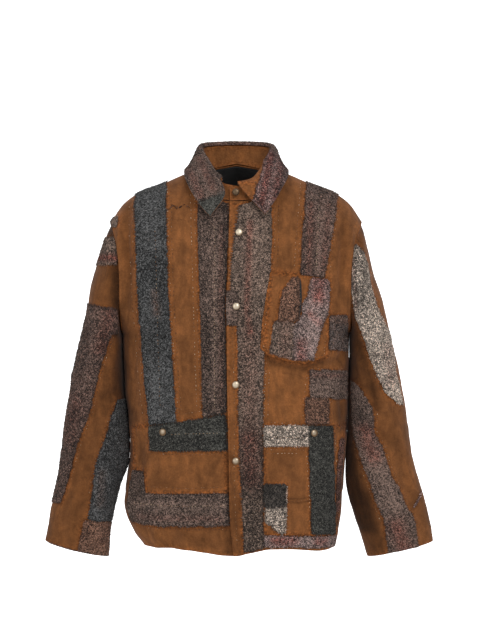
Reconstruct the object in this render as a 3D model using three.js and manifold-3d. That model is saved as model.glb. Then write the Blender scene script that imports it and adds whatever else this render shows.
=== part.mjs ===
// A patched boro jacket, filled out as it hangs on the shoulders, in millimetres.
// The front faces -Y, the wearer's left is +X and +Z is up.
// The origin is the middle of the neck, level with the top of the shoulder seams.
import * as THREE from "three";
import { mergeVertices } from "three/addons/utils/BufferGeometryUtils.js";
import Module from "manifold-3d";

const wasm = await Module();
wasm.setup();

// ---- Driving dimensions ----

// How the layers of cloth lie, as distances out from the face of the panel below.
const PANEL = 1.6; // wall of the body, sleeves and collar stand
const COLLAR = 1.8; // wall of the folded collar
const GAP = 0.3; // air between one layer and the next, and between pieces at a seam
const PATCH = 1.4; // wall of a patch, band or pocket
const LAYER = GAP + PATCH; // one layer further out
const LINING = 1.0;
const LAP_LIFT = 2.2; // the left front lies this far over the right front
const LAP_END = 20; // the right front runs this far past the middle, under the left one
const LAP_FADE = [32, 56]; // the left front comes back down between these widths

// Half widths of the body at each height, with the dropped armholes above the armpits.
const LEFT_SIDE = [
  [-720, 186], [-698, 189], [-675, 193], [-640, 199], [-600, 201], [-575, 203],
  [-475, 210], [-300, 214], [-244, 213], [-160, 216], [-120, 224], [-88, 238],
];
const RIGHT_SIDE = [
  [-720, 166], [-698, 176], [-675, 194], [-626, 212], [-575, 207], [-523, 201],
  [-475, 204], [-400, 212], [-300, 216], [-244, 218], [-160, 220], [-120, 228], [-88, 238],
];
const ARMPIT = -300;
const SHOULDER_END = -88;
// Depth of the front and of the back from the side seams at each height.
const FRONT_DEPTH = [
  [-720, 116], [-600, 118], [-500, 118], [-400, 122], [-300, 126], [-200, 120],
  [-120, 108], [-60, 96], [10, 88],
];
const BACK_DEPTH = [
  [-720, 112], [-600, 110], [-500, 109], [-400, 114], [-300, 126], [-200, 131],
  [-100, 130], [40, 130],
];
// Height of the shoulder seam at each distance from the middle; the first two lie inside the neck.
const SHOULDER = [
  [0, 38], [40, 26], [66, 15], [78, 9], [94, 4], [136, -14], [192, -37], [217, -57], [238, -88],
];
const FRONT_NECK = [[0, -57], [30, -51], [52, -33], [66, -11], [74, 3], [78, 9]];
const BACK_NECK = [[0, 26], [40, 18], [66, 11], [78, 9]];
const HEM = [
  [-180, -698], [-93, -698], [-60, -703], [-5, -708], [25, -703], [58, -697], [108, -698],
  [169, -703], [190, -698],
];
const BACK_HEM = -698;
// Left front's free edge, which shows down the middle of the jacket.
const FRONT_EDGE = [
  [-708, -5], [-650, -11], [-533, -14], [-392, -17], [-284, -18], [-243, -19], [-186, -15],
  [-114, -14], [-57, -12],
];

const ROUNDNESS = 2.4; // exponent of the body's oval sections
const ARMHOLE_SPREAD = 0.17; // how much wider the oval is than the armhole that cuts it
const ARMHOLE_RISE = 70; // height over which the oval spreads above the armpit
const SHOULDER_ROLL = 110; // height over which the shoulders round over
const ROLL_SHAPE = 2.2;

// Sleeve: outer and inner edge and half depth of each ring, from the armhole to the cuff. The inner
// edge lies close along the body, so the left and the right one differ.
const SLEEVE = [
  { left: [243, 221], right: [246, 221], outerZ: -114, innerZ: -307, depth: 78 },
  { left: [252, 221], right: [255.5, 220.5], outerZ: -150, innerZ: -318, depth: 79 },
  { left: [265.5, 219.5], right: [267.5, 219.5], outerZ: -192, innerZ: -332, depth: 78 },
  { left: [278.5, 217.5], right: [281, 217], outerZ: -240, innerZ: -350, depth: 76 },
  { left: [290.5, 215], right: [294, 214], outerZ: -296, innerZ: -374, depth: 73 },
  { left: [301, 213.8], right: [305.5, 213], outerZ: -352, innerZ: -406, depth: 70 },
  { left: [313, 212.8], right: [315.5, 208.6], outerZ: -412, innerZ: -446, depth: 67 },
  { left: [325, 210.4], right: [325, 204.4], outerZ: -474, innerZ: -492, depth: 64 },
  { left: [334, 207.6], right: [332, 205.6], outerZ: -530, innerZ: -538, depth: 61 },
  { left: [349, 208.5], right: [341, 222], outerZ: -586, innerZ: -590, depth: 57 },
  { left: [362, 222.5], right: [353, 235], outerZ: -634, innerZ: -642, depth: 52 },
  { left: [370, 238], right: [359, 241], outerZ: -668, innerZ: -688, depth: 48 },
  { left: [374, 249], right: [363, 244], outerZ: -692, innerZ: -722, depth: 46 },
];
const SLEEVE_ROUNDNESS = 2.15;
const HALF_AROUND = 6; // steps round half an armhole
const SLEEVE_SEAM = 0.45; // the sleeve starts this far out from the armhole's edge

// Collar: the fold line from the middle of the back, at 0, round one side to the front.
const FOLD = [
  [0, 67, 63], [27, 64, 62], [50, 56, 60], [66, 38, 55], [65, 12, 42], [54, -18, 22],
  [40, -52, -3], [24, -80, -20],
];
const LEFT_STAND_END = [-12, -97, -29]; // the left end laps over the right one
const RIGHT_STAND_END = [-12, -93, -28]; // as mirrored
// The fall hangs from the fold line at "at", through its middle to its free edge.
const FALL_SIDE = [
  { at: 1, middle: [31, 83, 40], edge: [35, 100, 8] },
  { at: 2, middle: [59, 74, 43], edge: [67, 88, 8] },
  { at: 3, middle: [80, 45, 38], edge: [91, 55, 8] },
  { at: 4, middle: [83, 12, 29], edge: [97, 10, 11] },
];
const FALL_BACK = { at: 0, middle: [0, 87, 41], edge: [0, 103, 9] };
const FALL_LEFT_FRONT = [
  { at: 5, middle: [78, -38, 14], edge: [94, -62, -11] },
  { at: 6, middle: [63, -78, -15], edge: [81, -95, -37] },
  { at: 7, middle: [43, -101, -39], edge: [67, -109, -61] },
  { at: 7.6, middle: [25, -108, -50], edge: [53, -116, -80] },
];
const FALL_RIGHT_FRONT = [
  { at: 5, middle: [78, -38, 14], edge: [94, -62, -13] },
  { at: 6, middle: [60, -82, -20], edge: [79, -100, -45] },
  { at: 6.4, middle: [45, -97, -36], edge: [64, -112, -67] },
  { at: 6.8, middle: [21, -107, -43], edge: [48, -117, -84] },
];
const STAND_GAP = 1.5; // the stand starts this far up from the neck seam
const STAND_TUCK = 1; // its right end tucks in this far behind the left front
const ROLL_UP = 6; // the fold stands this far above the stand
const ROLL_OUT = 6; // and rolls this far out over it

// Press snaps: a domed cap on a narrow rim.
const SNAP_RADIUS = 7;
const SNAP_HEIGHT = 3.2;
const SNAP_SIDES = 14;
const SNAP_CLEAR = 0.6; // room under a cap on the lap
const POCKET_SNAP_CLEAR = 1; // and on a pocket
const COLLAR_SNAP = [-1, -102, -40];
const SLOPE_STEP = 4; // the body's slope at a snap is taken over this distance each way

// ---- Colours and finishes ----

function cloth(colour, roughness = 0.95) {
  return new THREE.MeshStandardMaterial({ color: colour, roughness, metalness: 0 });
}
const BROWN = cloth("#80502d", 0.88);
const CHARCOAL = cloth("#4a5154");
const MAUVE = cloth("#62534f");
const TAUPE = cloth("#6f635b");
const CREAM = cloth("#978d80");
const TEAL = cloth("#3a4340");
const LILAC = cloth("#85788a");
const MAROON = cloth("#573634");
const BLACK = cloth("#1b1b1d");
const BRASS = new THREE.MeshStandardMaterial({ color: "#c4b48c", roughness: 0.38, metalness: 0.9 });
const BRONZE = new THREE.MeshStandardMaterial({ color: "#5a4632", roughness: 0.45, metalness: 0.9 });

const jacket = new THREE.Group();

function addMesh(name, geometry, material) {
  const mesh = new THREE.Mesh(geometry, material);
  mesh.name = name;
  jacket.add(mesh);
  return mesh;
}

// ---- Curves ----

function blend(from, to, share) {
  return from + (to - from) * share;
}

function smoothStep(value) {
  const t = Math.min(1, Math.max(0, value));
  return t * t * (3 - 2 * t);
}

// A smooth curve through hand-set points [at, value], held level past its ends.
function along(list, at) {
  const last = list.length - 1;
  if (at <= list[0][0]) return list[0][1];
  if (at >= list[last][0]) return list[last][1];
  let i = 0;
  while (at > list[i + 1][0]) i += 1;
  const rise = (k) => (list[k + 1][1] - list[k][1]) / (list[k + 1][0] - list[k][0]);
  const slope = (k) => {
    if (k === 0) return rise(0);
    if (k === last) return rise(last - 1);
    return (rise(k - 1) + rise(k)) / 2;
  };
  const step = list[i + 1][0] - list[i][0];
  const u = (at - list[i][0]) / step;
  const start = (2 * u ** 3 - 3 * u * u + 1) * list[i][1];
  const end = (3 * u * u - 2 * u ** 3) * list[i + 1][1];
  const bend = (u ** 3 - 2 * u * u + u) * slope(i) * step + (u ** 3 - u * u) * slope(i + 1) * step;
  return start + end + bend;
}

// ---- The body's form ----

function sideWidth(side, z) {
  return along(side > 0 ? LEFT_SIDE : RIGHT_SIDE, z);
}

// Depth of the body from the side seams at (x, z), on the front or on the back.
function bodyDepth(depths, x, z) {
  const spread = 1 + ARMHOLE_SPREAD * Math.min(1, Math.max(0, (z - ARMPIT) / ARMHOLE_RISE));
  const halfWidth = sideWidth(Math.sign(x), z) * spread;
  const across = Math.min(1, Math.abs(x) / halfWidth);
  const oval = (1 - across ** ROUNDNESS) ** (1 / ROUNDNESS);
  const below = (along(SHOULDER, Math.abs(x)) - z) / SHOULDER_ROLL;
  const rolled = 1 - Math.min(1, Math.max(0, below));
  const roll = (1 - rolled ** ROLL_SHAPE) ** (1 / ROLL_SHAPE);
  return along(depths, z) * oval * roll;
}

// ---- Sheets: grids of points that become walls of cloth ----

// A sheet holds rows of points, and a normal at each. wrap joins each row's end to its start.
function makeSheet(rows, wrap = false) {
  const sheet = { rows, wrap, normals: [] };
  const count = rows[0].length;
  for (let j = 0; j < rows.length; j += 1) {
    const line = [];
    for (let i = 0; i < count; i += 1) {
      const before = wrap ? (i + count - 1) % count : Math.max(0, i - 1);
      const after = wrap ? (i + 1) % count : Math.min(count - 1, i + 1);
      const across = rows[j][after].clone().sub(rows[j][before]);
      const up = rows[Math.min(rows.length - 1, j + 1)][i].clone().sub(rows[Math.max(0, j - 1)][i]);
      line.push(across.cross(up).normalize());
    }
    sheet.normals.push(line);
  }
  return sheet;
}

// The sheet's points moved out by a distance along the normals.
function moved(sheet, distance) {
  return sheet.rows.map((line, j) =>
    line.map((point, i) => point.clone().addScaledVector(sheet.normals[j][i], distance)),
  );
}

// A closed wall of cloth between two distances from the sheet's face.
function wall(sheet, inner, outer) {
  const near = moved(sheet, inner);
  const far = moved(sheet, outer);
  const rowCount = near.length;
  const count = near[0].length;
  const position = [];
  const triangle = (a, b, c) => {
    for (const point of [a, b, c]) position.push(point.x, point.y, point.z);
  };
  const quad = (a, b, c, d) => {
    triangle(a, b, c);
    triangle(a, c, d);
  };
  const columns = sheet.wrap ? count : count - 1;
  for (let j = 0; j < rowCount - 1; j += 1) {
    for (let i = 0; i < columns; i += 1) {
      const k = (i + 1) % count;
      quad(far[j][i], far[j][k], far[j + 1][k], far[j + 1][i]);
      quad(near[j][i], near[j + 1][i], near[j + 1][k], near[j][k]);
    }
    if (!sheet.wrap) {
      const end = count - 1;
      quad(near[j][0], far[j][0], far[j + 1][0], near[j + 1][0]);
      quad(far[j][end], near[j][end], near[j + 1][end], far[j + 1][end]);
    }
  }
  for (let i = 0; i < columns; i += 1) {
    const k = (i + 1) % count;
    const top = rowCount - 1;
    quad(near[0][i], near[0][k], far[0][k], far[0][i]);
    quad(far[top][i], far[top][k], near[top][k], near[top][i]);
  }
  const geometry = new THREE.BufferGeometry();
  geometry.setAttribute("position", new THREE.Float32BufferAttribute(position, 3));
  return geometry;
}

// ---- Cutting a wall with an outline ----

const WELD = 1e-3;

function solidOf(geometry) {
  const bare = geometry.clone();
  bare.deleteAttribute("normal");
  bare.deleteAttribute("uv");
  const merged = mergeVertices(bare, WELD);
  const vertProperties = new Float32Array(merged.attributes.position.array);
  const triVerts = new Uint32Array(merged.index.array);
  return new wasm.Manifold(new wasm.Mesh({ numProp: 3, vertProperties, triVerts }));
}

function geometryOf(solid) {
  const mesh = solid.getMesh();
  const geometry = new THREE.BufferGeometry();
  geometry.setAttribute("position", new THREE.Float32BufferAttribute(mesh.vertProperties, 3));
  geometry.setIndex(new THREE.Uint32BufferAttribute(mesh.triVerts, 1));
  return geometry.toNonIndexed();
}

// A straight cutter through the outline [x, z], from one depth y to another.
function cutter(outline, from, to) {
  const shape = new THREE.Shape(outline.map(([x, z]) => new THREE.Vector2(x, z)));
  const prism = new THREE.ExtrudeGeometry(shape, { depth: to - from, bevelEnabled: false });
  prism.rotateX(Math.PI / 2);
  prism.translate(0, to, 0);
  return prism;
}

// The piece of a sheet inside an outline, as a wall lying a number of layers out.
function cutPiece(sheet, outline, { layer = 0, thick = PATCH, from = -200, to = -1 } = {}) {
  const base = GAP + layer * LAYER;
  const whole = solidOf(wall(sheet, base, base + thick));
  return geometryOf(whole.intersect(solidOf(cutter(outline, from, to))));
}

// ---- Fronts and back ----

// Where the columns of a panel stand across it, as shares of its width at the hem.
const HEM_SHARES = [0, 0.18, 0.36, 0.53, 0.68, 0.81, 0.91, 0.975, 1];
const FRONT_NECK_X = [30, 52, 71];
const BACK_NECK_X = [0, 28, 52, 68];
const SHOULDER_X = [78, 118, 158, 200, 238];
const ROWS_BELOW = 8;
const NECK_START = -50; // height at which a front's edge meets the neck
const NEAR_HEM = -700; // height at which a column's place along the hem is taken

// A column's height at row j: even below the armpit, and close together at both ends of the armhole.
function rowHeight(j, hem, top) {
  const pit = blend(hem, top, (ARMPIT - hem) / (SHOULDER_END - hem));
  if (j <= ROWS_BELOW) return blend(hem, pit, j / ROWS_BELOW);
  const turn = (Math.PI * (j - ROWS_BELOW)) / HALF_AROUND;
  return blend(pit, top, (1 - Math.cos(turn)) / 2);
}

// Half a panel on one side, as columns of points from its middle, start(z), out to the side.
function panelColumns(side, facing, depths, start, neckX, neck, hemAt) {
  const tops = [...neckX, ...SHOULDER_X];
  return tops.map((topX, i) => {
    const inNeck = i < neckX.length;
    const x0 = inNeck && i === 0 ? start(NECK_START) : side * topX;
    const top = inNeck ? along(neck, Math.abs(x0)) : along(SHOULDER, topX);
    const topStart = start(top);
    const topShare = (x0 - topStart) / (side * sideWidth(side, SHOULDER_END) - topStart);
    const column = [];
    for (let j = 0; j <= ROWS_BELOW + HALF_AROUND; j += 1) {
      const roughX = blend(start(NEAR_HEM), side * sideWidth(side, NEAR_HEM), HEM_SHARES[i]);
      const z = rowHeight(j, hemAt(roughX), top);
      const rise = smoothStep((z - BACK_HEM) / (top - BACK_HEM));
      const share = blend(HEM_SHARES[i], i === 0 ? 0 : topShare, rise);
      const x = blend(start(z), side * sideWidth(side, z), share);
      column.push(new THREE.Vector3(x, facing * (bodyDepth(depths, x, z) + GAP / 2), z));
    }
    return column;
  });
}

function rowsOf(columns) {
  return columns[0].map((_, j) => columns.map((column) => column[j]));
}

// Along the side and shoulder seams the two panels' walls meet square.
function squareSeams(sheet) {
  sheet.rows.forEach((line, j) =>
    line.forEach((point, i) => {
      if (Math.abs(point.y) < GAP) sheet.normals[j][i].setY(0).normalize();
    }),
  );
  return sheet;
}

// The left front rises over the right front down the middle.
function lapOver(sheet) {
  const rows = sheet.rows.map((line, j) =>
    line.map((point, i) => {
      const share = (point.x - LAP_FADE[0]) / (LAP_FADE[1] - LAP_FADE[0]);
      return point.clone().addScaledVector(sheet.normals[j][i], LAP_LIFT * (1 - smoothStep(share)));
    }),
  );
  return squareSeams(makeSheet(rows));
}

const hemAt = (x) => along(HEM, x);
const leftStart = (z) => along(FRONT_EDGE, z);
const leftColumns = panelColumns(
  1, -1, FRONT_DEPTH, leftStart, [leftStart(NECK_START), ...FRONT_NECK_X], FRONT_NECK, hemAt,
);
const rightColumns = panelColumns(
  -1, -1, FRONT_DEPTH, () => LAP_END, [LAP_END, ...FRONT_NECK_X], FRONT_NECK, hemAt,
);
const backHalf = (side) =>
  panelColumns(side, 1, BACK_DEPTH, () => 0, BACK_NECK_X, BACK_NECK, () => BACK_HEM);
const backLeft = backHalf(1);
const backRight = backHalf(-1);

const leftFront = lapOver(squareSeams(makeSheet(rowsOf(leftColumns))));
const rightFront = squareSeams(makeSheet(rowsOf([...rightColumns].reverse())));
const back = squareSeams(makeSheet(rowsOf([...[...backLeft].reverse(), ...backRight.slice(1)])));

addMesh("front_left", wall(leftFront, -PANEL, 0), BROWN);
addMesh("front_right", wall(rightFront, -PANEL, 0), BROWN);
addMesh("back", wall(back, -PANEL, 0), BROWN);

// The lining hangs inside the back, from the neck and shoulder seams to above the turned-up hem.
function liningSheet() {
  const columnEnd = back.rows[0].length - 1;
  const inside = (line) => line.slice(1, columnEnd);
  return { rows: back.rows.slice(1).map(inside), normals: back.normals.slice(1).map(inside) };
}
const liningFace = -PANEL - GAP;
addMesh("back_lining", wall(liningSheet(), liningFace - LINING, liningFace), BLACK);

// ---- Sleeves ----

function roundPower(value) {
  return Math.sign(value) * Math.abs(value) ** (2 / SLEEVE_ROUNDNESS);
}

// The armhole's points and normals, from the shoulder round to the shoulder again.
function armhole(side) {
  const topRow = ROWS_BELOW + HALF_AROUND;
  const frontSheet = side > 0 ? leftFront : rightFront;
  const frontEnd = side > 0 ? frontSheet.rows[0].length - 1 : 0;
  const backEnd = side > 0 ? 0 : back.rows[0].length - 1;
  const points = [];
  const normals = [];
  const take = (sheet, column, j) => {
    points.push(sheet.rows[j][column].clone());
    normals.push(sheet.normals[j][column].clone());
  };
  const first = side > 0 ? [back, backEnd] : [frontSheet, frontEnd];
  const second = side > 0 ? [frontSheet, frontEnd] : [back, backEnd];
  for (let j = topRow; j > ROWS_BELOW; j -= 1) take(first[0], first[1], j);
  for (let j = ROWS_BELOW; j < topRow; j += 1) take(second[0], second[1], j);
  points[0].y = 0;
  points[HALF_AROUND].y = 0;
  return { points, normals };
}

function sleeveSheet(side) {
  const hole = armhole(side);
  const around = 2 * HALF_AROUND;
  const rows = SLEEVE.map(({ left, right, outerZ, innerZ, depth }) => {
    const [outer, inner] = side > 0 ? left : right;
    const line = [];
    for (let i = 0; i < around; i += 1) {
      const turn = (2 * Math.PI * i) / around;
      const across = (1 + roundPower(Math.cos(turn))) / 2;
      const x = blend(inner, outer, across);
      const y = depth * roundPower(Math.sin(turn));
      line.push(new THREE.Vector3(side * x, side * y, blend(innerZ, outerZ, across)));
    }
    return line;
  });
  const seam = hole.points.map((point) => point.add(new THREE.Vector3(side * SLEEVE_SEAM, 0, 0)));
  const sheet = makeSheet([...rows.reverse(), seam], true);
  const top = sheet.rows.length - 1;
  sheet.normals[top] = sheet.normals[top].map((normal, i) => {
    const share = (1 + Math.cos((2 * Math.PI * i) / around)) / 2;
    return normal.multiplyScalar(1 - share).addScaledVector(hole.normals[i], share).normalize();
  });
  return sheet;
}

const leftSleeve = sleeveSheet(1);
const rightSleeve = sleeveSheet(-1);
addMesh("sleeve_left", wall(leftSleeve, -PANEL, 0), BROWN);
addMesh("sleeve_right", wall(rightSleeve, -PANEL, 0), BROWN);

// ---- Collar ----

const vector = ([x, y, z]) => new THREE.Vector3(x, y, z);
const mirrored = ([x, y, z]) => [-x, y, z];

// The neck seam's points from the left front round the back to the right front.
function neckSeam() {
  const neckColumns = FRONT_NECK_X.length + 2;
  const top = leftFront.rows.length - 1;
  const left = leftFront.rows[top].slice(0, neckColumns);
  const middle = back.rows[top].length >> 1;
  const reach = BACK_NECK_X.length - 1;
  const rear = back.rows[top].slice(middle - reach, middle + reach + 1);
  const right = rightFront.rows[top].slice(-neckColumns);
  return [...left, ...rear, ...right];
}

function standSheet() {
  const side = [...FOLD].reverse();
  const tops = [
    LEFT_STAND_END,
    ...side,
    ...FOLD.slice(1).map(mirrored),
    mirrored(RIGHT_STAND_END),
  ].map(vector);
  const bottoms = neckSeam().map((point, i) => {
    const up = tops[i].clone().sub(point).normalize();
    return point.clone().addScaledVector(up, STAND_GAP);
  });
  bottoms.at(-1).y += STAND_TUCK;
  const middles = bottoms.map((point, i) => point.clone().lerp(tops[i], 0.5));
  return makeSheet([bottoms, middles, tops]);
}

// A point on the fold line of one side, "at" steps round from the middle of the back.
function foldPoint(at, end, sign) {
  const line = [...FOLD, end];
  const step = Math.min(line.length - 2, Math.floor(at));
  const point = vector(line[step]).lerp(vector(line[step + 1]), at - step);
  point.x *= sign;
  return point;
}

function fallSheet() {
  const column = (sign, end) => ({ at, middle, edge }) => {
    const fold = foldPoint(at, end, sign);
    const out = new THREE.Vector3(fold.x, fold.y, 0).normalize();
    const place = (outward, up) => fold.clone().addScaledVector(out, outward).setZ(fold.z + up);
    return [
      vector([sign * edge[0], edge[1], edge[2]]),
      vector([sign * middle[0], middle[1], middle[2]]),
      place(ROLL_OUT, ROLL_UP - 1),
      place(1, ROLL_UP + 2),
      place(-PANEL, 1.6),
    ];
  };
  const leftColumn = column(1, LEFT_STAND_END);
  const rightColumn = column(-1, RIGHT_STAND_END);
  const columns = [
    ...[...FALL_LEFT_FRONT].reverse().map(leftColumn),
    ...[...FALL_SIDE].reverse().map(leftColumn),
    leftColumn(FALL_BACK),
    ...FALL_SIDE.map(rightColumn),
    ...FALL_RIGHT_FRONT.map(rightColumn),
  ];
  return makeSheet(rowsOf(columns));
}

const stand = standSheet();
const fall = fallSheet();
addMesh("collar_stand", wall(stand, -PANEL, 0), BROWN);
addMesh("collar_fall", wall(fall, -COLLAR, 0), BROWN);

// ---- Pockets, placket and patches ----

// Each outline is [x, z] seen from the front. layer counts the patches or pockets underneath.
const LEFT_FRONT_PIECES = [
  {
    name: "placket", colour: BROWN,
    outline: [
      [-30, -59], [7, -64], [-3, -114], [-10, -186], [-10, -243], [1, -284], [3, -337], [5, -491],
      [14, -720], [-30, -720],
    ],
  },
  {
    name: "strip_beside_placket", colour: TAUPE,
    outline: [
      [8, -64], [30, -57], [54, -38], [63, -62], [64, -131], [59, -234], [49, -337], [46, -491],
      [48, -694], [15, -700], [6, -491], [4, -337], [2, -284], [-9, -243], [-9, -186], [-2, -114],
    ],
  },
  {
    name: "patch_over_placket", colour: MAUVE, layer: 1,
    outline: [[-30, -222], [-6, -222], [2, -230], [1, -283], [-30, -283]],
  },
  {
    name: "strip_left_shoulder", colour: MAUVE,
    outline: [[135, 0], [192, -20], [175, -119], [161, -195], [119, -190], [123, -120]],
  },
  {
    name: "chest_pocket", colour: BROWN, layer: 1,
    outline: [
      [62, -186], [171, -199], [169, -293], [167, -342], [125, -355], [89, -349], [58, -340],
      [43, -326], [47, -274],
    ],
  },
  {
    name: "pocket_patch_maroon", colour: MAROON, layer: 2,
    outline: [[103, -198], [114, -198], [112, -275], [76, -276], [80, -250], [84, -224]],
  },
  {
    name: "pocket_patch_taupe", colour: TAUPE, layer: 2,
    outline: [[68, -280], [107, -280], [103, -300], [101.5, -345], [62, -335]],
  },
  {
    name: "pocket_patch_lilac", colour: LILAC, layer: 2,
    outline: [
      [137, -199], [169, -202], [168, -240], [165, -264], [155, -286], [149, -308], [139, -346],
      [104, -347], [105, -300], [108, -284], [119, -270], [121, -247], [131, -232],
    ],
  },
  {
    name: "patch_left_armhole", colour: CHARCOAL,
    outline: [[173, -268], [206, -268], [208, -330], [172, -328]],
  },
  {
    name: "patch_left_band", colour: MAUVE,
    outline: [[136, -368], [207, -371], [207, -421], [136, -416]],
  },
  {
    name: "patch_left_maroon", colour: MAROON,
    outline: [[128, -419], [170, -421], [170, -466], [128, -466]],
  },
  {
    name: "pocket_left", colour: BROWN,
    outline: [
      [50, -468], [204, -473], [196, -575], [192, -640], [187, -676], [50, -668],
    ],
  },
  {
    name: "pocket_left_cream", colour: CREAM, layer: 1,
    outline: [[51, -469], [131, -471], [131, -506], [51, -505]],
  },
  {
    name: "pocket_left_teal", colour: TEAL, layer: 1,
    outline: [[133, -471], [177, -473], [183, -673], [139, -669]],
  },
  {
    name: "pocket_left_black", colour: BLACK, layer: 1,
    outline: [[51, -577], [90, -578], [90, -619], [51, -618]],
  },
  {
    name: "pocket_left_grey", colour: CREAM, layer: 1,
    outline: [[53, -620], [91, -621], [86, -671], [69, -656], [53, -643]],
  },
  {
    name: "pocket_left_side_strip", colour: MAUVE, layer: 1,
    outline: [[192, -498], [200, -499], [194, -566], [190, -632], [184, -632], [186, -566]],
  },
  {
    name: "hem_strip_left", colour: LILAC,
    outline: [[51, -671], [187, -680], [184, -697], [51, -690]],
  },
];

const RIGHT_FRONT_PIECES = [
  {
    name: "strip_right_shoulder", colour: CHARCOAL,
    outline: [
      [-190, -20], [-134, 0], [-126, -238], [-117, -381], [-112, -461], [-160, -467], [-169, -382],
      [-180, -238],
    ],
  },
  {
    name: "strip_right_middle", colour: MAUVE,
    outline: [
      [-72, -16], [-50, -42], [-20, -60], [-16, -114], [-18, -186], [-22, -243], [-21, -284],
      [-20, -392], [-20, -443], [-60, -452], [-66, -238],
    ],
  },
  {
    name: "patch_right_shoulder_end", colour: TAUPE,
    outline: [[-250, -82], [-223, -82], [-223, -98], [-250, -98]],
  },
  {
    name: "pocket_right", colour: BROWN,
    outline: [
      [-194, -475], [-161, -471], [-60, -456], [-20, -447], [-17, -592], [-167, -596], [-171, -555],
      [-192, -555],
    ],
  },
  {
    name: "pocket_right_band", colour: TEAL, layer: 1,
    outline: [[-160, -472], [-60, -457], [-21, -448], [-18, -513], [-158, -515]],
  },
  {
    name: "band_right_hem", colour: MAUVE,
    outline: [
      [-194, -558], [-173, -558], [-169, -598], [-17, -594], [-15, -651], [-141, -654],
      [-196, -650], [-205, -626], [-200, -590],
    ],
  },
];

const LEFT_SLEEVE_PIECES = [
  {
    name: "sleeve_left_cream", colour: CREAM,
    outline: [
      [214, -128], [238, -150], [251, -213], [265, -260], [291, -308], [297, -364], [306, -407],
      [313, -433], [300, -428], [276, -407], [257, -364], [238, -308], [222, -262], [212, -213],
      [208, -160],
    ],
  },
  {
    name: "sleeve_left_mauve", colour: MAUVE,
    outline: [
      [218, -440], [222, -491], [237, -542], [251, -577], [263, -615], [278, -648], [291, -735],
      [345, -735], [334, -663], [330, -643], [316, -624], [304, -592], [289, -570], [280, -542],
      [272, -514], [257, -488], [255, -455], [251, -437], [236, -414], [226, -397], [217, -390],
    ],
  },
];

const RIGHT_SLEEVE_PIECES = [
  {
    name: "sleeve_right_band", colour: TAUPE,
    outline: [[-290, -123], [-226, -123], [-222, -168], [-290, -168]],
    to: 20,
  },
  {
    name: "sleeve_right_strip", colour: MAUVE,
    outline: [
      [-330, -238], [-223, -258], [-223, -297], [-234, -299], [-255, -364], [-274, -443],
      [-300, -512], [-316, -575], [-330, -617], [-380, -617], [-380, -300],
    ],
    to: 20,
  },
  {
    name: "sleeve_right_charcoal", colour: CHARCOAL,
    outline: [
      [-222, -425], [-237, -472], [-249, -510], [-262, -546], [-269, -602], [-277, -648],
      [-236, -653], [-205, -590], [-205, -425],
    ],
    to: -6,
  },
  {
    name: "sleeve_right_cuff", colour: MAROON,
    outline: [[-302, -740], [-285, -652], [-230, -660], [-225, -740]],
  },
];

// The collar's patches; the back one wraps the fold and the fall behind the neck.
const COLLAR_PIECES = [
  {
    name: "collar_patch_left", colour: LILAC, to: 11,
    outline: [[66, 90], [62, 48], [31, -56], [48, -95], [120, -95], [120, 90]],
  },
  {
    name: "collar_patch_right", colour: MAUVE, to: 11,
    outline: [[-1, 90], [-1, -20], [-17, -38], [-68, -56], [-120, -56], [-120, 90]],
  },
  {
    name: "collar_patch_tip", colour: TEAL, to: 11,
    outline: [[-1, -33], [-17, -39], [-68, -57], [-90, -66], [-60, -110], [-1, -110]],
  },
  {
    name: "collar_patch_back", colour: MAUVE, from: 12, to: 140,
    outline: [[-130, -20], [130, -20], [130, 110], [-130, 110]],
  },
];

function addPieces(sheet, pieces) {
  for (const { name, outline, colour, layer, from, to } of pieces) {
    addMesh(name, cutPiece(sheet, outline, { layer, from, to }), colour);
  }
}

addPieces(leftFront, LEFT_FRONT_PIECES);
addPieces(rightFront, RIGHT_FRONT_PIECES);
addPieces(leftSleeve, LEFT_SLEEVE_PIECES);
addPieces(rightSleeve, RIGHT_SLEEVE_PIECES);
addPieces(fall, COLLAR_PIECES);

// ---- Snaps ----

const capShape = [
  [0, 0], [SNAP_RADIUS - 0.8, 0], [SNAP_RADIUS, 0.7], [SNAP_RADIUS - 0.7, 1.8],
  [SNAP_RADIUS * 0.6, SNAP_HEIGHT - 0.4], [0, SNAP_HEIGHT],
].map(([radius, height]) => new THREE.Vector2(radius, height));

// A snap stands this far off the panel, clear of the layers it is pressed through.
function addSnap(name, x, z, off, material) {
  const depth = (atX, atZ) => bodyDepth(FRONT_DEPTH, atX, atZ);
  const step = SLOPE_STEP;
  const slopeX = (depth(x + step, z) - depth(x - step, z)) / (2 * step);
  const slopeZ = (depth(x, z + step) - depth(x, z - step)) / (2 * step);
  const normal = new THREE.Vector3(-slopeX, -1, -slopeZ).normalize();
  const snap = addMesh(name, new THREE.LatheGeometry(capShape, SNAP_SIDES), material);
  snap.position.set(x, -depth(x, z), z).addScaledVector(normal, off);
  snap.quaternion.setFromUnitVectors(new THREE.Vector3(0, 1, 0), normal);
}

const ON_LAP = LAP_LIFT + LAYER + SNAP_CLEAR;
const ON_POCKET = 2 * LAYER + POCKET_SNAP_CLEAR;
addSnap("snap_1", 5, -114, ON_LAP, BRASS);
addSnap("snap_2", 0, -250, ON_LAP + LAYER, BRASS);
addSnap("snap_3", -1, -393, ON_LAP, BRASS);
addSnap("snap_4", -1, -533, ON_LAP, BRASS);
addSnap("snap_pocket_right", -134, -481, ON_POCKET, BRASS);
addSnap("snap_pocket_left", 142, -483, ON_POCKET, BRASS);

// The collar's snap sits on the stand's lapped end, half under the fall.
const collarSnap = addMesh("snap_collar", new THREE.LatheGeometry(capShape, SNAP_SIDES), BRONZE);
collarSnap.position.set(...COLLAR_SNAP);
collarSnap.rotation.x = Math.PI / 2;

export default jacket;
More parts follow.
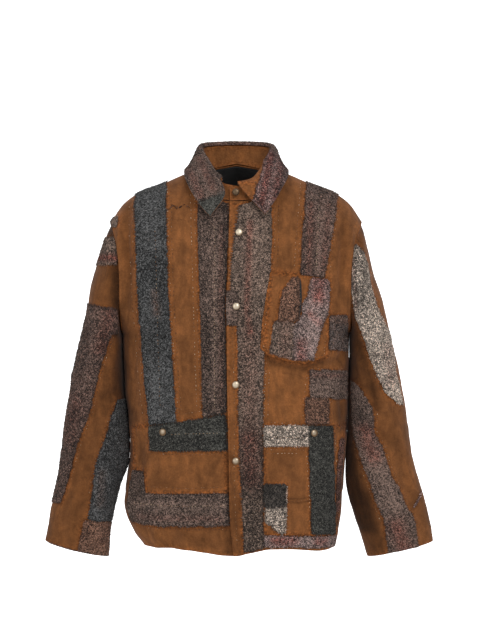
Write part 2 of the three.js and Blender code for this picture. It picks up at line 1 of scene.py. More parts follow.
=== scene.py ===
"""A patched boro jacket: brown suede-faced cloth with stitched tweed patches, closed with press snaps.

The sheets of cloth are worked out in millimetres and made into meshes in metres.
The front faces -Y, the wearer's left is +X and +Z is up.
"""

import math

import bpy
import numpy as np
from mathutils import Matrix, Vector
from mathutils.kdtree import KDTree


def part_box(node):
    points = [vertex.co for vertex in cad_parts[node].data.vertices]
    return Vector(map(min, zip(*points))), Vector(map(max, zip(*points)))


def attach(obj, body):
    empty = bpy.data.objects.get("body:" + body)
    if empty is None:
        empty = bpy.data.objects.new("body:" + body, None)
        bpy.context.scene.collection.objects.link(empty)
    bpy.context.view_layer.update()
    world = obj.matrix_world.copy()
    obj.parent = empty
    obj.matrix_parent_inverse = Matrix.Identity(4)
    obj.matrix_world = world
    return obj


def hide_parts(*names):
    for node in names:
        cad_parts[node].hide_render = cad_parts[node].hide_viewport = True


bl_info = {
    "name": "Patched boro jacket",
    "version": (1, 0, 0),
    "blender": (4, 5, 0),
    "location": "View3D > Sidebar > Jacket",
    "description": "Builds the looks of a patched boro jacket round its frame",
    "category": "Object",
}

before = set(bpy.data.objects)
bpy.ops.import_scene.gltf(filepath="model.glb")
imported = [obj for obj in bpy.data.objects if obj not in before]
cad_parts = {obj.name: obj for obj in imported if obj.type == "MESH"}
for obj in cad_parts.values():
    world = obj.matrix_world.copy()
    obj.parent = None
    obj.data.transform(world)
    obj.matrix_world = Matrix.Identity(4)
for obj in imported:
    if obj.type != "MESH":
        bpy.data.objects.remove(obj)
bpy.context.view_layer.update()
MM = 0.001

# ---- How the layers lie, in millimetres out from the face of the panel below ----

PANEL = 1.6
COLLAR = 1.8
GAP = 0.3
PATCH = 1.4
LAYER = GAP + PATCH
LINING = 1.0
LINING_GAP = 5 * GAP
LAP_LIFT = 2.2
LAP_END = 20
LAP_EASE = 30  # the left front sinks inwards only this far past the lap
LAP_FADE = (32, 56)

# ---- The body's form ----

LEFT_SIDE = [
    (-720, 186), (-698, 189), (-675, 193), (-640, 199), (-600, 201), (-575, 203),
    (-475, 210), (-300, 214), (-244, 213), (-160, 216), (-120, 224), (-88, 238),
]
RIGHT_SIDE = [
    (-720, 166), (-698, 176), (-675, 194), (-626, 212), (-575, 207), (-523, 201),
    (-475, 204), (-400, 212), (-300, 216), (-244, 218), (-160, 220), (-120, 228),
    (-88, 238),
]
ARMPIT = -300
SHOULDER_END = -88
FRONT_DEPTH = [
    (-720, 116), (-600, 118), (-500, 118), (-400, 122), (-300, 126), (-200, 120),
    (-120, 108), (-60, 96), (10, 88),
]
BACK_DEPTH = [
    (-720, 112), (-600, 110), (-500, 109), (-400, 114), (-300, 126), (-200, 131),
    (-100, 130), (40, 130),
]
SHOULDER = [
    (0, 38), (40, 26), (66, 15), (78, 9), (94, 4), (136, -14), (192, -37), (217, -57),
    (238, -88),
]
NECK_END = 78  # x where the neck ends and the shoulder starts
FRONT_NECK = [(0, -57), (30, -51), (52, -33), (66, -11), (74, 3), (NECK_END, 9)]
BACK_NECK = [(0, 26), (40, 18), (66, 11), (NECK_END, 9)]
HEM = [
    (-180, -698), (-93, -698), (-60, -703), (-5, -708), (25, -703), (58, -697),
    (108, -698), (169, -703), (190, -698),
]
BACK_HEM = -698
FRONT_EDGE = [
    (-708, -5), (-650, -11), (-533, -14), (-392, -17), (-284, -18), (-243, -19),
    (-186, -15), (-114, -14), (-57, -12),
]
ROUNDNESS = 2.4
ARMHOLE_SPREAD = 0.17
ARMHOLE_RISE = 70
SHOULDER_ROLL = 110
ROLL_SHAPE = 2.2
HEM_SHARES = [0, 0.18, 0.36, 0.53, 0.68, 0.81, 0.91, 0.975, 1]
FRONT_NECK_X = [30, 52, 71]
BACK_NECK_X = [0, 28, 52, 68]
SHOULDER_X = [NECK_END, 118, 158, 200, 238]
NECK_FOOT = -50.0  # height at which the front edge reaches the neck
NEAR_HEM = -700.0  # height that tells each column's x at the hem
ROWS_BELOW = 8  # rows of the panels from the hem to the armpit
HALF_AROUND = 6  # and from there to the shoulder
HALF_COLUMNS = 110  # fine columns in half a panel, before they are evened
FINE_ROWS = 300  # fine rows in a panel or a sleeve, before they are evened

# Sleeve rings: the outer and inner edge's x on the left, then on the right, their two heights, half depth.
SLEEVE = [
    ((243, 214.8), (246, 216.4), -114, -307, 78), ((252, 214.8), (255.5, 216.0), -150, -318, 79),
    ((265.5, 214.7), (267.5, 215.6), -192, -332, 78), ((278.5, 214.6), (281, 214.9), -240, -350, 76),
    ((290.5, 214.3), (294, 213.9), -296, -374, 73), ((301, 213.4), (305.5, 212.6), -352, -406, 70),
    ((313, 212.2), (315.5, 208.2), -412, -446, 67), ((325, 210.0), (325, 203.0), -474, -492, 64),
    ((334, 207.2), (332, 204.2), -530, -538, 61), ((349, 208.5), (341, 222), -586, -590, 57),
    ((362, 222.5), (353, 235), -634, -642, 52), ((370, 238), (359, 241), -668, -688, 48),
    ((374, 249), (363, 244), -692, -722, 46),
]
SLEEVE_ROUNDNESS = 2.15
SLEEVE_AROUND = 240  # points round a sleeve, before they are evened
SLEEVE_TOP_OUT = 0.45  # a sleeve's top ring stands this far out from the body's side

# The collar's fold line from the middle of the back, and the fall that hangs from it.
FOLD = [
    (0, 67, 63), (27, 64, 62), (50, 56, 60), (66, 38, 55), (65, 12, 42), (54, -18, 22),
    (40, -52, -3), (24, -80, -20),
]
LEFT_STAND_END = (-12, -97, -29)
RIGHT_STAND_END = (-12, -93, -28)
FALL_BACK = [(0, (0, 87, 41), (0, 103, 9))]
FALL_SIDE = [
    (1, (31, 83, 40), (35, 100, 8)), (2, (59, 74, 43), (67, 88, 8)),
    (3, (80, 45, 38), (91, 55, 8)), (4, (83, 12, 29), (97, 10, 11)),
]
FALL_LEFT_FRONT = [
    (5, (78, -38, 14), (94, -62, -11)), (6, (63, -78, -15), (81, -95, -37)),
    (7, (43, -101, -39), (67, -109, -61)), (7.6, (25, -108, -50), (53, -116, -80)),
]
FALL_RIGHT_FRONT = [
    (5, (78, -38, 14), (94, -62, -13)), (6, (60, -82, -20), (79, -100, -45)),
    (6.4, (45, -97, -36), (64, -112, -67)), (6.8, (21, -107, -43), (48, -117, -84)),
]
STAND_GAP = 1.5
STAND_TUCK = 1
ROLL_UP = 6
ROLL_OUT = 6

FINE_STEP = 2.4  # spacing of the points of every sheet
PANEL_STEPS = 2  # a panel takes every second point each way
LINING_STEPS = 3  # and the lining every third


# ---- Curves ----


def along(points, at):
    """A smooth curve through given points (at, value), held level past its ends."""
    xs, ys = np.array(points, float).T
    rise = np.diff(ys) / np.diff(xs)
    slope = np.concatenate([rise[:1], (rise[1:] + rise[:-1]) / 2, rise[-1:]])
    at = np.clip(np.asarray(at, float), xs[0], xs[-1])
    i = np.clip(np.searchsorted(xs, at, side="right") - 1, 0, len(xs) - 2)
    step = xs[i + 1] - xs[i]
    u = (at - xs[i]) / step
    return (
        (2 * u**3 - 3 * u * u + 1) * ys[i]
        + (3 * u * u - 2 * u**3) * ys[i + 1]
        + (u**3 - 2 * u * u + u) * slope[i] * step
        + (u**3 - u * u) * slope[i + 1] * step
    )


def listed(values):
    """Values as points (0, value), (1, value) and so on, for along."""
    return list(enumerate(values))


def blend(start, end, share):
    return start + (end - start) * share


def smooth(value):
    t = np.clip(value, 0, 1)
    return t * t * (3 - 2 * t)


def bump_of(distance, width):
    """A soft hump: one at no distance, and nothing past about twice the width."""
    return np.exp(-((distance / width) ** 2))


def waves(x, z, seed, length, count=5):
    """Soft unevenness from a few crossing waves of about this length, between -1 and 1."""
    made = np.random.default_rng(seed)
    total = np.zeros(np.broadcast(x, z).shape)
    for _ in range(count):
        turn, phase = made.uniform(0, 2 * math.pi, 2)
        size = length * made.uniform(0.7, 1.4)
        total += np.sin(
            2 * math.pi * (x * math.cos(turn) + z * math.sin(turn)) / size + phase
        )
    return total / count


def line_distance(x, z, line):
    """Distance from each place to a line of points, and how far along it that is, from 0 to 1."""
    line = np.array(line, float)
    lengths = np.linalg.norm(np.diff(line, axis=0), axis=1)
    starts = np.concatenate([[0], np.cumsum(lengths)])
    best = np.full(np.broadcast(x, z).shape, np.inf)
    share = np.zeros_like(best)
    for a, b, size, start in zip(line[:-1], line[1:], lengths, starts[:-1]):
        d = b - a
        t = np.clip(((x - a[0]) * d[0] + (z - a[1]) * d[1]) / (size * size), 0, 1)
        far = np.hypot(x - a[0] - t * d[0], z - a[1] - t * d[1])
        near = far < best
        best = np.where(near, far, best)
        share = np.where(near, (start + t * size) / starts[-1], share)
    return best, share


def inside(x, z, outline):
    """Whether each place lies inside a closed outline."""
    found = np.zeros(np.broadcast(x, z).shape, bool)
    px, pz = np.array(outline, float).T
    for ax, az, bx, bz in zip(px, pz, np.roll(px, -1), np.roll(pz, -1)):
        if az == bz:
            continue
        crosses = (az > z) != (bz > z)
        found ^= crosses & (x < (bx - ax) * (z - az) / (bz - az) + ax)
    return found


# ---- Grids of points ----


def normals_of(points, wrap):
    """A unit normal at each point of a grid, facing the same way as its rows turned to its columns."""
    if wrap:
        across = np.roll(points, -1, 1) - np.roll(points, 1, 1)
    else:
        across = np.gradient(points, axis=1)
    up = np.gradient(points, axis=0)
    normal = np.cross(across, up)
    return normal / np.maximum(np.linalg.norm(normal, axis=2, keepdims=True), 1e-9)


class Sheet:
    """A sheet of cloth's outer face as a fine grid of points, in millimetres."""

    def __init__(self, points, wrap=False):
        self.points = points
        self.wrap = wrap
        self.normals = normals_of(points, wrap)
        self.rows, self.columns = points.shape[:2]
        self.trees = {}

    def pick(self, grid, row, column):
        """Values of a grid at places between its points."""
        row = np.clip(row, 0, self.rows - 1.0001)
        r0 = row.astype(int)
        if self.wrap:
            column = np.mod(column, self.columns)
            c0 = np.floor(column).astype(int) % self.columns
            c1 = (c0 + 1) % self.columns
            fc = column - np.floor(column)
        else:
            column = np.clip(column, 0, self.columns - 1.0001)
            c0 = column.astype(int)
            c1 = c0 + 1
            fc = column - c0
        fr = (row - r0)[..., None]
        fc = fc[..., None]
        low = grid[r0, c0] * (1 - fc) + grid[r0, c1] * fc
        high = grid[r0 + 1, c0] * (1 - fc) + grid[r0 + 1, c1] * fc
        return low * (1 - fr) + high * fr

    def at(self, row, column, off=0.0):
        """Points at places on the sheet, moved out by a distance."""
        off = np.asarray(off, float)[..., None]
        return self.pick(self.points, row, column) + self.normal(row, column) * off

    def normal(self, row, column):
        normal = self.pick(self.normals, row, column)
        return normal / np.maximum(np.linalg.norm(normal, axis=-1, keepdims=True), 1e-9)

    def steps(self, row, column):
        """How x and z change over one step along the row and one up the column."""
        h = 0.5
        right, left = (self.pick(self.points, row, column + by) for by in (h, -h))
        above, below = (self.pick(self.points, row + by, column) for by in (h, -h))
        return (right - left) / (2 * h), (above - below) / (2 * h)

    def find(self, x, z, low, high):
        """Places on the sheet that are seen at (x, z) from the front, with y between low and high."""
        key = (low, high)
        if key not in self.trees:
            tree_rows, tree_columns = np.nonzero(
                (self.points[..., 1] > low) & (self.points[..., 1] < high)
            )
            tree = KDTree(len(tree_rows))
            for k, (r, c) in enumerate(zip(tree_rows, tree_columns)):
                p = self.points[r, c]
                tree.insert((p[0], 0, p[2]), k)
            tree.balance()
            self.trees[key] = (tree, tree_rows, tree_columns)
        tree, tree_rows, tree_columns = self.trees[key]
        nearest = [tree.find((a, 0, b))[1] for a, b in zip(x, z)]
        row = tree_rows[nearest].astype(float)
        column = tree_columns[nearest].astype(float)
        return self.slide(row, column, x, z, most=2.0)

    def slide(self, row, column, x, z, most):
        """Moves places on the sheet until they are seen at (x, z), by at most so many steps a time."""
        for _ in range(3):
            here = self.pick(self.points, row, column)
            across, up = self.steps(row, column)
            dx, dz = x - here[..., 0], z - here[..., 2]
            det = across[..., 0] * up[..., 2] - across[..., 2] * up[..., 0]
            det = np.where(np.abs(det) < 0.25, np.where(det < 0, -0.25, 0.25), det)
            dc = np.clip((dx * up[..., 2] - dz * up[..., 0]) / det, -most, most)
            dr = np.clip((across[..., 0] * dz - across[..., 2] * dx) / det, -most, most)
            row, column = row + dr, column + dc
            if not self.wrap:
                column = np.clip(column, 0, self.columns - 1)
            row = np.clip(row, 0, self.rows - 1)
        return row, column

    def raised(self, height):
        """The same sheet with each point moved out by its own height."""
        return Sheet(self.points + self.normals * height[..., None], self.wrap)


def refined(points, across, up):
    """A coarse grid made smooth and fine, with its own points kept."""

    def stretched(grid, count):
        gaps = np.linalg.norm(np.diff(grid, axis=0), axis=2).mean(1)
        marks = np.concatenate([[0], np.cumsum(np.maximum(gaps, 1e-6))])
        at = np.linspace(0, marks[-1], count)
        flat = grid.reshape(len(grid), -1)
        made = [along(list(zip(marks, flat[:, k])), at) for k in range(flat.shape[1])]
        return np.array(made).T.reshape(count, *grid.shape[1:])

    finer = stretched(points, up)
    return stretched(finer.transpose(1, 0, 2), across).transpose(1, 0, 2)


# ---- The body's panels ----


def side_width(side, z):
    return along(LEFT_SIDE if side > 0 else RIGHT_SIDE, z)


def body_depth(depths, x, z):
    """Depth of the body from the side seams at (x, z), on the front or on the back."""
    spread = 1 + ARMHOLE_SPREAD * np.clip((z - ARMPIT) / ARMHOLE_RISE, 0, 1)
    width = np.where(x > 0, side_width(1, z), side_width(-1, z)) * spread
    across = np.minimum(1, np.abs(x) / width)
    oval = (1 - across**ROUNDNESS) ** (1 / ROUNDNESS)
    below = (along(SHOULDER, np.abs(x)) - z) / SHOULDER_ROLL
    rolled = 1 - np.clip(below, 0, 1)
    return along(depths, z) * oval * (1 - rolled**ROLL_SHAPE) ** (1 / ROLL_SHAPE)


def row_height(j, hem, top):
    """A column's height at row j: even below the armpit, then close together at both ends."""
    pit = blend(hem, top, (ARMPIT - hem) / (SHOULDER_END - hem))
    turn = math.pi * (j - ROWS_BELOW) / HALF_AROUND
    above = blend(pit, top, (1 - np.cos(np.clip(turn, 0, math.pi))) / 2)
    return np.where(j <= ROWS_BELOW, blend(hem, pit, j / ROWS_BELOW), above)


def panel_half(side, facing, depths, start, neck_x, neck, hem_at):
    """Half a panel on one side, as a fine grid from its middle, start(z), out to the side."""
    tops = [*neck_x, *SHOULDER_X]
    i = np.linspace(0, len(tops) - 1, HALF_COLUMNS + 1)[None, :]
    hem_share = along(listed(HEM_SHARES), i)
    top_x = along(listed([abs(v) for v in tops]), i)
    x0 = np.where(i == 0, start(NECK_FOOT), side * top_x)
    in_neck = np.abs(x0) < NECK_END
    top = np.where(in_neck, along(neck, np.abs(x0)), along(SHOULDER, np.abs(x0)))
    top_start = start(top)
    end = side * side_width(side, SHOULDER_END)
    top_share = (x0 - top_start) / (end - top_start)
    j = np.linspace(0, ROWS_BELOW + HALF_AROUND, FINE_ROWS)[:, None]
    rough = blend(start(NEAR_HEM), side * side_width(side, NEAR_HEM), hem_share)
    z = row_height(j, hem_at(rough), top)
    rise = smooth((z - BACK_HEM) / (top - BACK_HEM))
    share = blend(hem_share, np.where(i == 0, 0, top_share), rise)
    x = blend(start(z), side * side_width(side, z), share)
    y = facing * (body_depth(depths, x, z) + GAP / 2)
    return np.stack(np.broadcast_arrays(x, y, z), axis=-1)


def evened(points, wrap=False):
    """A grid with its rows and columns moved along the cloth until they stand evenly apart."""

    def spaced(grid, closed):
        if closed:
            grid = np.concatenate([grid, grid[:1]])
        gaps = np.linalg.norm(np.diff(grid, axis=0), axis=2).mean(1)
        marks = np.concatenate([[0], np.cumsum(gaps)])
        count = 2 * max(2, round(marks[-1] / FINE_STEP / 2))
        at = np.linspace(0, marks[-1], count + 1)[: -1 if closed else None]
        k = np.clip(np.searchsorted(marks, at, side="right") - 1, 0, len(gaps) - 1)
        share = ((at - marks[k]) / gaps[k])[:, None, None]
        return grid[k] * (1 - share) + grid[k + 1] * share

    made = spaced(points, False)
    return spaced(made.transpose(1, 0, 2), wrap).transpose(1, 0, 2)


def front_edge(z):
    return along(FRONT_EDGE, z)


def hem_of(x):
    return along(HEM, x)


def still(value):
    """A start line, or hem, that is the same everywhere."""
    return lambda at: np.full(np.shape(at), float(value))


# Soft folds and creases, as (line of places seen from the front, width, height out).
FRONT_RIGHT_FOLDS = [
    ([(-203, -74), (-206, -130), (-201, -190), (-206, -250)], 8, -4.5),
    ([(-217, -100), (-219, -170), (-222, -240)], 7, 3.0),
    ([(-184, -60), (-190, -120), (-186, -200)], 9, 2.2),
    ([(-186, -300), (-196, -380), (-190, -450)], 12, -3.0),
    ([(-176, -500), (-184, -560), (-178, -640)], 12, -3.2),
    ([(-150, -640), (-146, -700)], 9, 2.4),
    ([(-121, -650), (-119, -702)], 8, -2.4),
    ([(-92, -655), (-94, -704)], 9, 2.6),
    ([(-58, -650), (-52, -706)], 8, -2.2),
    ([(-30, -640), (-26, -706)], 8, 2.0),
    ([(-100, -430), (-60, -440), (-26, -430)], 9, -1.6),
    ([(-60, -90), (-80, -160), (-84, -260)], 18, 2.0),
    ([(-110, -520), (-70, -545), (-40, -530)], 12, -1.8),
]
FRONT_LEFT_FOLDS = [
    ([(196, -92), (199, -160), (194, -230)], 8, -4.0),
    ([(212, -110), (214, -200)], 7, 2.6),
    ([(206, -300), (196, -345), (172, -362)], 8, -3.4),
    ([(204, -372), (198, -430), (203, -480)], 9, -3.2),
    ([(186, -520), (191, -600), (184, -660)], 11, -2.6),
    ([(100, -60), (84, -130), (82, -180)], 16, 2.2),
    ([(126, -366), (104, -400), (98, -450)], 12, -2.0),
    ([(30, -360), (24, -440), (31, -520)], 12, 1.8),
    ([(12, -560), (2, -610), (8, -660), (3, -706)], 8, 2.6),
    ([(22, -600), (18, -650), (24, -706)], 8, -2.4),
    ([(70, -650), (74, -700)], 8, 2.0),
    ([(106, -655), (102, -700)], 9, -2.0),
    ([(150, -650), (152, -702)], 9, 2.2),
    ([(60, -560), (110, -548), (130, -560)], 11, -1.5),
]
BACK_FOLDS = [
    ([(150, -90), (138, -240), (120, -420)], 20, 4.5),
    ([(-148, -90), (-140, -260), (-118, -440)], 20, 4.5),
    ([(176, -110), (180, -210), (170, -330)], 10, -5.0),
    ([(-178, -110), (-184, -220), (-172, -330)], 10, -5.0),
    ([(0, -120), (6, -330), (-4, -640)], 26, -3.0),
    ([(-70, -300), (-62, -500), (-72, -690)], 16, 3.2),
    ([(66, -280), (74, -480), (64, -690)], 16, 3.2),
    ([(-120, -520), (-112, -690)], 11, -3.5),
    ([(118, -500), (110, -690)], 11, -3.5),
    ([(-160, -560), (-164, -690)], 11, 3.0),
    ([(158, -560), (160, -690)], 11, 3.0),
    ([(-60, -34), (0, -48), (60, -34)], 12, -2.2),
    ([(-90, -470), (0, -500), (90, -476)], 16, -2.0),
]
# Sleeve folds are set as seen on the wearer's left, and mirrored for the right.
LEFT_SLEEVE_FOLDS = [
    ([(224, -318), (246, -338), (272, -346)], 8, -5.0),
    ([(224, -350), (250, -368), (280, -372)], 9, 3.6),
    ([(222, -398), (250, -410), (276, -402)], 9, -4.2),
    ([(222, -440), (256, -446), (290, -432)], 10, 2.6),
    ([(219, -486), (252, -480), (286, -496)], 9, -3.6),
    ([(262, -170), (256, -240), (262, -300)], 13, -3.4),
    ([(300, -330), (304, -400), (316, -450)], 12, 2.4),
    ([(300, -520), (318, -580), (330, -630)], 12, -2.6),
    ([(232, -560), (252, -600), (262, -660)], 12, 2.6),
    ([(280, -640), (290, -700), (292, -722)], 9, -2.8),
    ([(324, -640), (336, -690), (338, -712)], 9, 2.4),
]
RIGHT_SLEEVE_FOLDS = [
    ([(222, -322), (244, -330), (268, -326)], 8, -4.6),
    ([(224, -362), (252, -352), (280, -356)], 10, 3.2),
    ([(222, -410), (246, -424), (268, -450)], 9, -4.0),
    ([(222, -452), (244, -470), (262, -500)], 9, 3.0),
    ([(262, -150), (268, -210), (262, -262)], 12, 2.6),
    ([(284, -250), (284, -330), (296, -400)], 13, -2.8),
    ([(270, -520), (280, -590), (284, -640)], 12, -3.0),
    ([(300, -600), (306, -650), (308, -700)], 12, 2.6),
    ([(244, -660), (252, -700), (256, -720)], 9, -2.4),
]
SLEEVE_BACK_FOLDS = [
    ([(228, -330), (262, -350), (296, -340)], 10, -5.0),
    ([(226, -372), (270, -392), (306, -384)], 11, 4.0),
    ([(222, -430), (266, -446), (316, -430)], 11, -4.6),
    ([(222, -480), (270, -492), (318, -480)], 12, 3.4),
    ([(262, -140), (272, -220), (286, -300)], 15, -3.4),
    ([(280, -540), (296, -620), (304, -690)], 14, 3.0),
    ([(322, -560), (330, -640), (340, -690)], 11, -2.8),
]
FOLD_DEPTH = 1.8  # what every fold's height is multiplied by
LINING_HEM, LINING_SIDE = 12, 14  # points of the back left out below the lining and beside it
# A soft pleat down each side of the back behind the sleeve: its depth y, half width, height, ends.
SIDE_PLEAT = (41, 13, 12, -310, -640)
UNEVEN = 1.1  # how far the cloth is uneven between its folds, in broad waves
UNEVEN_SMALL = 0.5  # and in small ones
RIGHT_FADE = (-40, 26)  # the right front goes flat under the lap from this x, over this far
PLEAT_FADE = 50  # the side pleats run out over this far
CLOSE_FADE = (3, 12)  # the sleeves' folds run out beside the body: from this far, over this far
CLOSE_FOOT = -600  # down to this height
GROOVE = (-2.6, 4, 6.0)  # beside the armhole seam: height, distance from it, half width
SEAM_FADE = 14  # folds run out this far from a seam


def fold_height(x, z, folds, side=1):
    height = np.zeros(np.shape(x))
    for line, width, out in folds:
        far, share = line_distance(side * x, z, line)
        height += FOLD_DEPTH * out * bump_of(far, width) * np.sin(math.pi * (0.08 + 0.84 * share)) ** 0.6
    return height


def seam_fade(sheet, rows_low, rows_high, columns_low, columns_high):
    """A share for each point that falls to nothing at the chosen edges of a sheet."""
    fade = np.ones((sheet.rows, sheet.columns))
    row = np.arange(sheet.rows)[:, None] * FINE_STEP
    column = np.arange(sheet.columns)[None, :] * FINE_STEP
    for wanted, distance in (
        (rows_low, row), (rows_high, row[::-1]),
        (columns_low, column), (columns_high, column[:, ::-1]),
    ):
        if wanted:
            fade = fade * smooth(distance / SEAM_FADE)
    return fade


def front_sheet(side):
    start = front_edge if side > 0 else still(LAP_END)
    first = float(front_edge(NECK_FOOT)) if side > 0 else LAP_END
    points = panel_half(
        side, -1, FRONT_DEPTH, start, [first, *FRONT_NECK_X], FRONT_NECK, hem_of
    )
    if side < 0:
        points = points[:, ::-1]
    sheet = Sheet(evened(points))
    x, z = sheet.points[..., 0], sheet.points[..., 2]
    if side > 0:
        share = (x - LAP_FADE[0]) / (LAP_FADE[1] - LAP_FADE[0])
        sheet = sheet.raised(LAP_LIFT * (1 - smooth(share)))
        fade = seam_fade(sheet, False, True, False, True)
        height = fold_height(x, z, FRONT_LEFT_FOLDS)
    else:
        fade = seam_fade(sheet, False, True, True, False)
        fade = fade * (1 - smooth((x - RIGHT_FADE[0]) / RIGHT_FADE[1]))
        height = fold_height(x, z, FRONT_RIGHT_FOLDS)
    height = height + UNEVEN * waves(x, z, 11 + side, 70) + UNEVEN_SMALL * waves(x, z, 5 + side, 26)
    if side > 0:
        height = np.where(height < 0, height * smooth((x - LAP_END) / LAP_EASE), height)
    return sheet.raised(height * fade)


def back_sheet():
    halves = [
        panel_half(side, 1, BACK_DEPTH, still(0), BACK_NECK_X, BACK_NECK, still(BACK_HEM))
        for side in (1, -1)
    ]
    sheet = Sheet(evened(np.concatenate([halves[0][:, ::-1], halves[1][:, 1:]], axis=1)))
    x, z = sheet.points[..., 0], sheet.points[..., 2]
    height = fold_height(x, z, BACK_FOLDS) + UNEVEN * waves(x, z, 21, 80)
    height += UNEVEN_SMALL * waves(x, z, 22, 28)
    depth, width, rise, top, foot = SIDE_PLEAT
    ends = smooth((top - z) / PLEAT_FADE) * smooth((z - foot) / PLEAT_FADE)
    pleat = rise * bump_of(sheet.points[..., 1] - depth, width) * ends
    return sheet.raised(height * seam_fade(sheet, False, True, True, True) + pleat)


def round_power(value):
    """A circle's sine or cosine made a little squarer."""
    return np.sign(value) * np.abs(value) ** (2 / SLEEVE_ROUNDNESS)


def sleeve_sheet(side):
    """A sleeve from its cuff up to the armhole, round from its outer edge."""
    turn = 2 * math.pi * np.arange(SLEEVE_AROUND) / SLEEVE_AROUND
    across = (1 + round_power(np.cos(turn))) / 2
    rings = []
    for left, right, outer_z, inner_z, depth in SLEEVE:
        outer, inner = left if side > 0 else right
        x = side * blend(inner, outer, across)
        y = side * depth * round_power(np.sin(turn))
        rings.append(np.stack([x, y, blend(inner_z, outer_z, across)], axis=-1))
    z = blend(ARMPIT, SHOULDER_END, (1 + np.cos(turn)) / 2)
    x = side * side_width(side, z)
    rear = np.sin(turn) * side > 0
    y = np.where(rear, body_depth(BACK_DEPTH, x, z), -body_depth(FRONT_DEPTH, x, z))
    rings.insert(0, np.stack([x + side * SLEEVE_TOP_OUT, y, z], axis=-1))
    coarse = np.array(rings[::-1])
    down = np.linspace(0, len(coarse) - 1, FINE_ROWS)
    fine = np.array([
        [along(listed(coarse[:, i, k]), down) for k in range(3)]
        for i in range(SLEEVE_AROUND)
    ]).transpose(2, 0, 1)
    sheet = Sheet(evened(fine, wrap=True), wrap=True)
    x, z = sheet.points[..., 0], sheet.points[..., 2]
    front = smooth(0.5 - sheet.points[..., 1] / 24)
    folds = LEFT_SLEEVE_FOLDS if side > 0 else RIGHT_SLEEVE_FOLDS
    height = front * fold_height(x, z, folds, side)
    height += (1 - front) * fold_height(x, z, SLEEVE_BACK_FOLDS, side)
    uneven = waves(x + sheet.points[..., 1] * 0.7, z, 31 + side, 66)
    small = waves(x + sheet.points[..., 1] * 0.7, z, 41 + side, 24)
    height += UNEVEN * uneven + UNEVEN_SMALL * small
    beside = side * x - side_width(side, np.minimum(z, ARMPIT))
    close = (1 - smooth((beside - CLOSE_FADE[0]) / CLOSE_FADE[1])) * (z > CLOSE_FOOT)
    height = height * (1 - close)
    row = np.arange(sheet.rows)[:, None] * FINE_STEP
    groove = GROOVE[0] * bump_of(row[::-1] - GROOVE[1], GROOVE[2])
    return sheet.raised(height * seam_fade(sheet, False, True, False, False) + groove)


def lining_sheet(back):
    """The back again, from just inside its hem and its sides."""
    return Sheet(back.points[LINING_HEM:, LINING_SIDE:-LINING_SIDE])


# ---- The collar ----


def seam_point(x, facing, depths, neck):
    """A place on the neck seam, at the front or at the back."""
    z = float(along(neck, abs(x)))
    y = facing * (float(body_depth(depths, np.float64(x), np.float64(z))) + GAP / 2)
    return np.array([x, y, z])


def mirrored(point):
    return (-point[0], point[1], point[2])


def stand_sheet():
    first = float(front_edge(NECK_FOOT))
    left = [seam_point(x, -1, FRONT_DEPTH, FRONT_NECK) for x in (first, *FRONT_NECK_X, NECK_END)]
    left[0] = left[0] + (0, -LAP_LIFT, 0)
    left[1] = left[1] + (0, -LAP_LIFT, 0)
    behind = [*BACK_NECK_X[:0:-1], *(-x for x in BACK_NECK_X)]
    rear = [seam_point(x, 1, BACK_DEPTH, BACK_NECK) for x in behind]
    across = (NECK_END, *FRONT_NECK_X[::-1], -LAP_END)
    right = [seam_point(-x, -1, FRONT_DEPTH, FRONT_NECK) for x in across]
    tops = np.array([
        LEFT_STAND_END, *reversed(FOLD), *map(mirrored, FOLD[1:]), mirrored(RIGHT_STAND_END),
    ], float)
    bottoms = np.array([*left, *rear, *right])
    up = tops - bottoms
    bottoms = bottoms + STAND_GAP * up / np.linalg.norm(up, axis=1, keepdims=True)
    bottoms[-1, 1] += STAND_TUCK
    coarse = np.array([bottoms, (bottoms + tops) / 2, tops])
    return Sheet(evened(refined(coarse, 200, 30)))


def fold_point(at, end, sign):
    """A place along the collar's fold line, on the left or the right."""
    line = np.array([*FOLD, end], float)
    step = min(len(line) - 2, math.floor(at))
    point = blend(line[step], line[step + 1], at - step)
    point[0] *= sign
    return point


def fall_column(at, middle, edge, sign, end):
    """The fall's points from its edge up over the fold, at one place along it."""
    fold = fold_point(at, end, sign)
    out = np.array([fold[0], fold[1], 0.0])
    out /= np.linalg.norm(out)

    def place(outward, up):
        return fold + out * outward + (0, 0, up)

    return [
        (sign * edge[0], edge[1], edge[2]),
        (sign * middle[0], middle[1], middle[2]),
        place(ROLL_OUT, ROLL_UP - 1),
        place(1, ROLL_UP + 2),
        place(-PANEL, 1.6),
    ]


def fall_sheet():
    columns = [fall_column(*row, 1, LEFT_STAND_END) for row in reversed(FALL_LEFT_FRONT)]
    columns += [fall_column(*row, 1, LEFT_STAND_END) for row in reversed(FALL_SIDE)]
    columns += [fall_column(*row, 1, LEFT_STAND_END) for row in FALL_BACK]
    columns += [fall_column(*row, -1, RIGHT_STAND_END) for row in FALL_SIDE]
    columns += [fall_column(*row, -1, RIGHT_STAND_END) for row in FALL_RIGHT_FRONT]
    coarse = np.array(columns, float).transpose(1, 0, 2)
    sheet = Sheet(evened(refined(coarse, 260, 50)))
    x, z = sheet.points[..., 0], sheet.points[..., 2]
    return sheet.raised(0.6 * waves(x, z, 51, 34) * seam_fade(sheet, False, True, False, False))


# ---- Walls of cloth ----


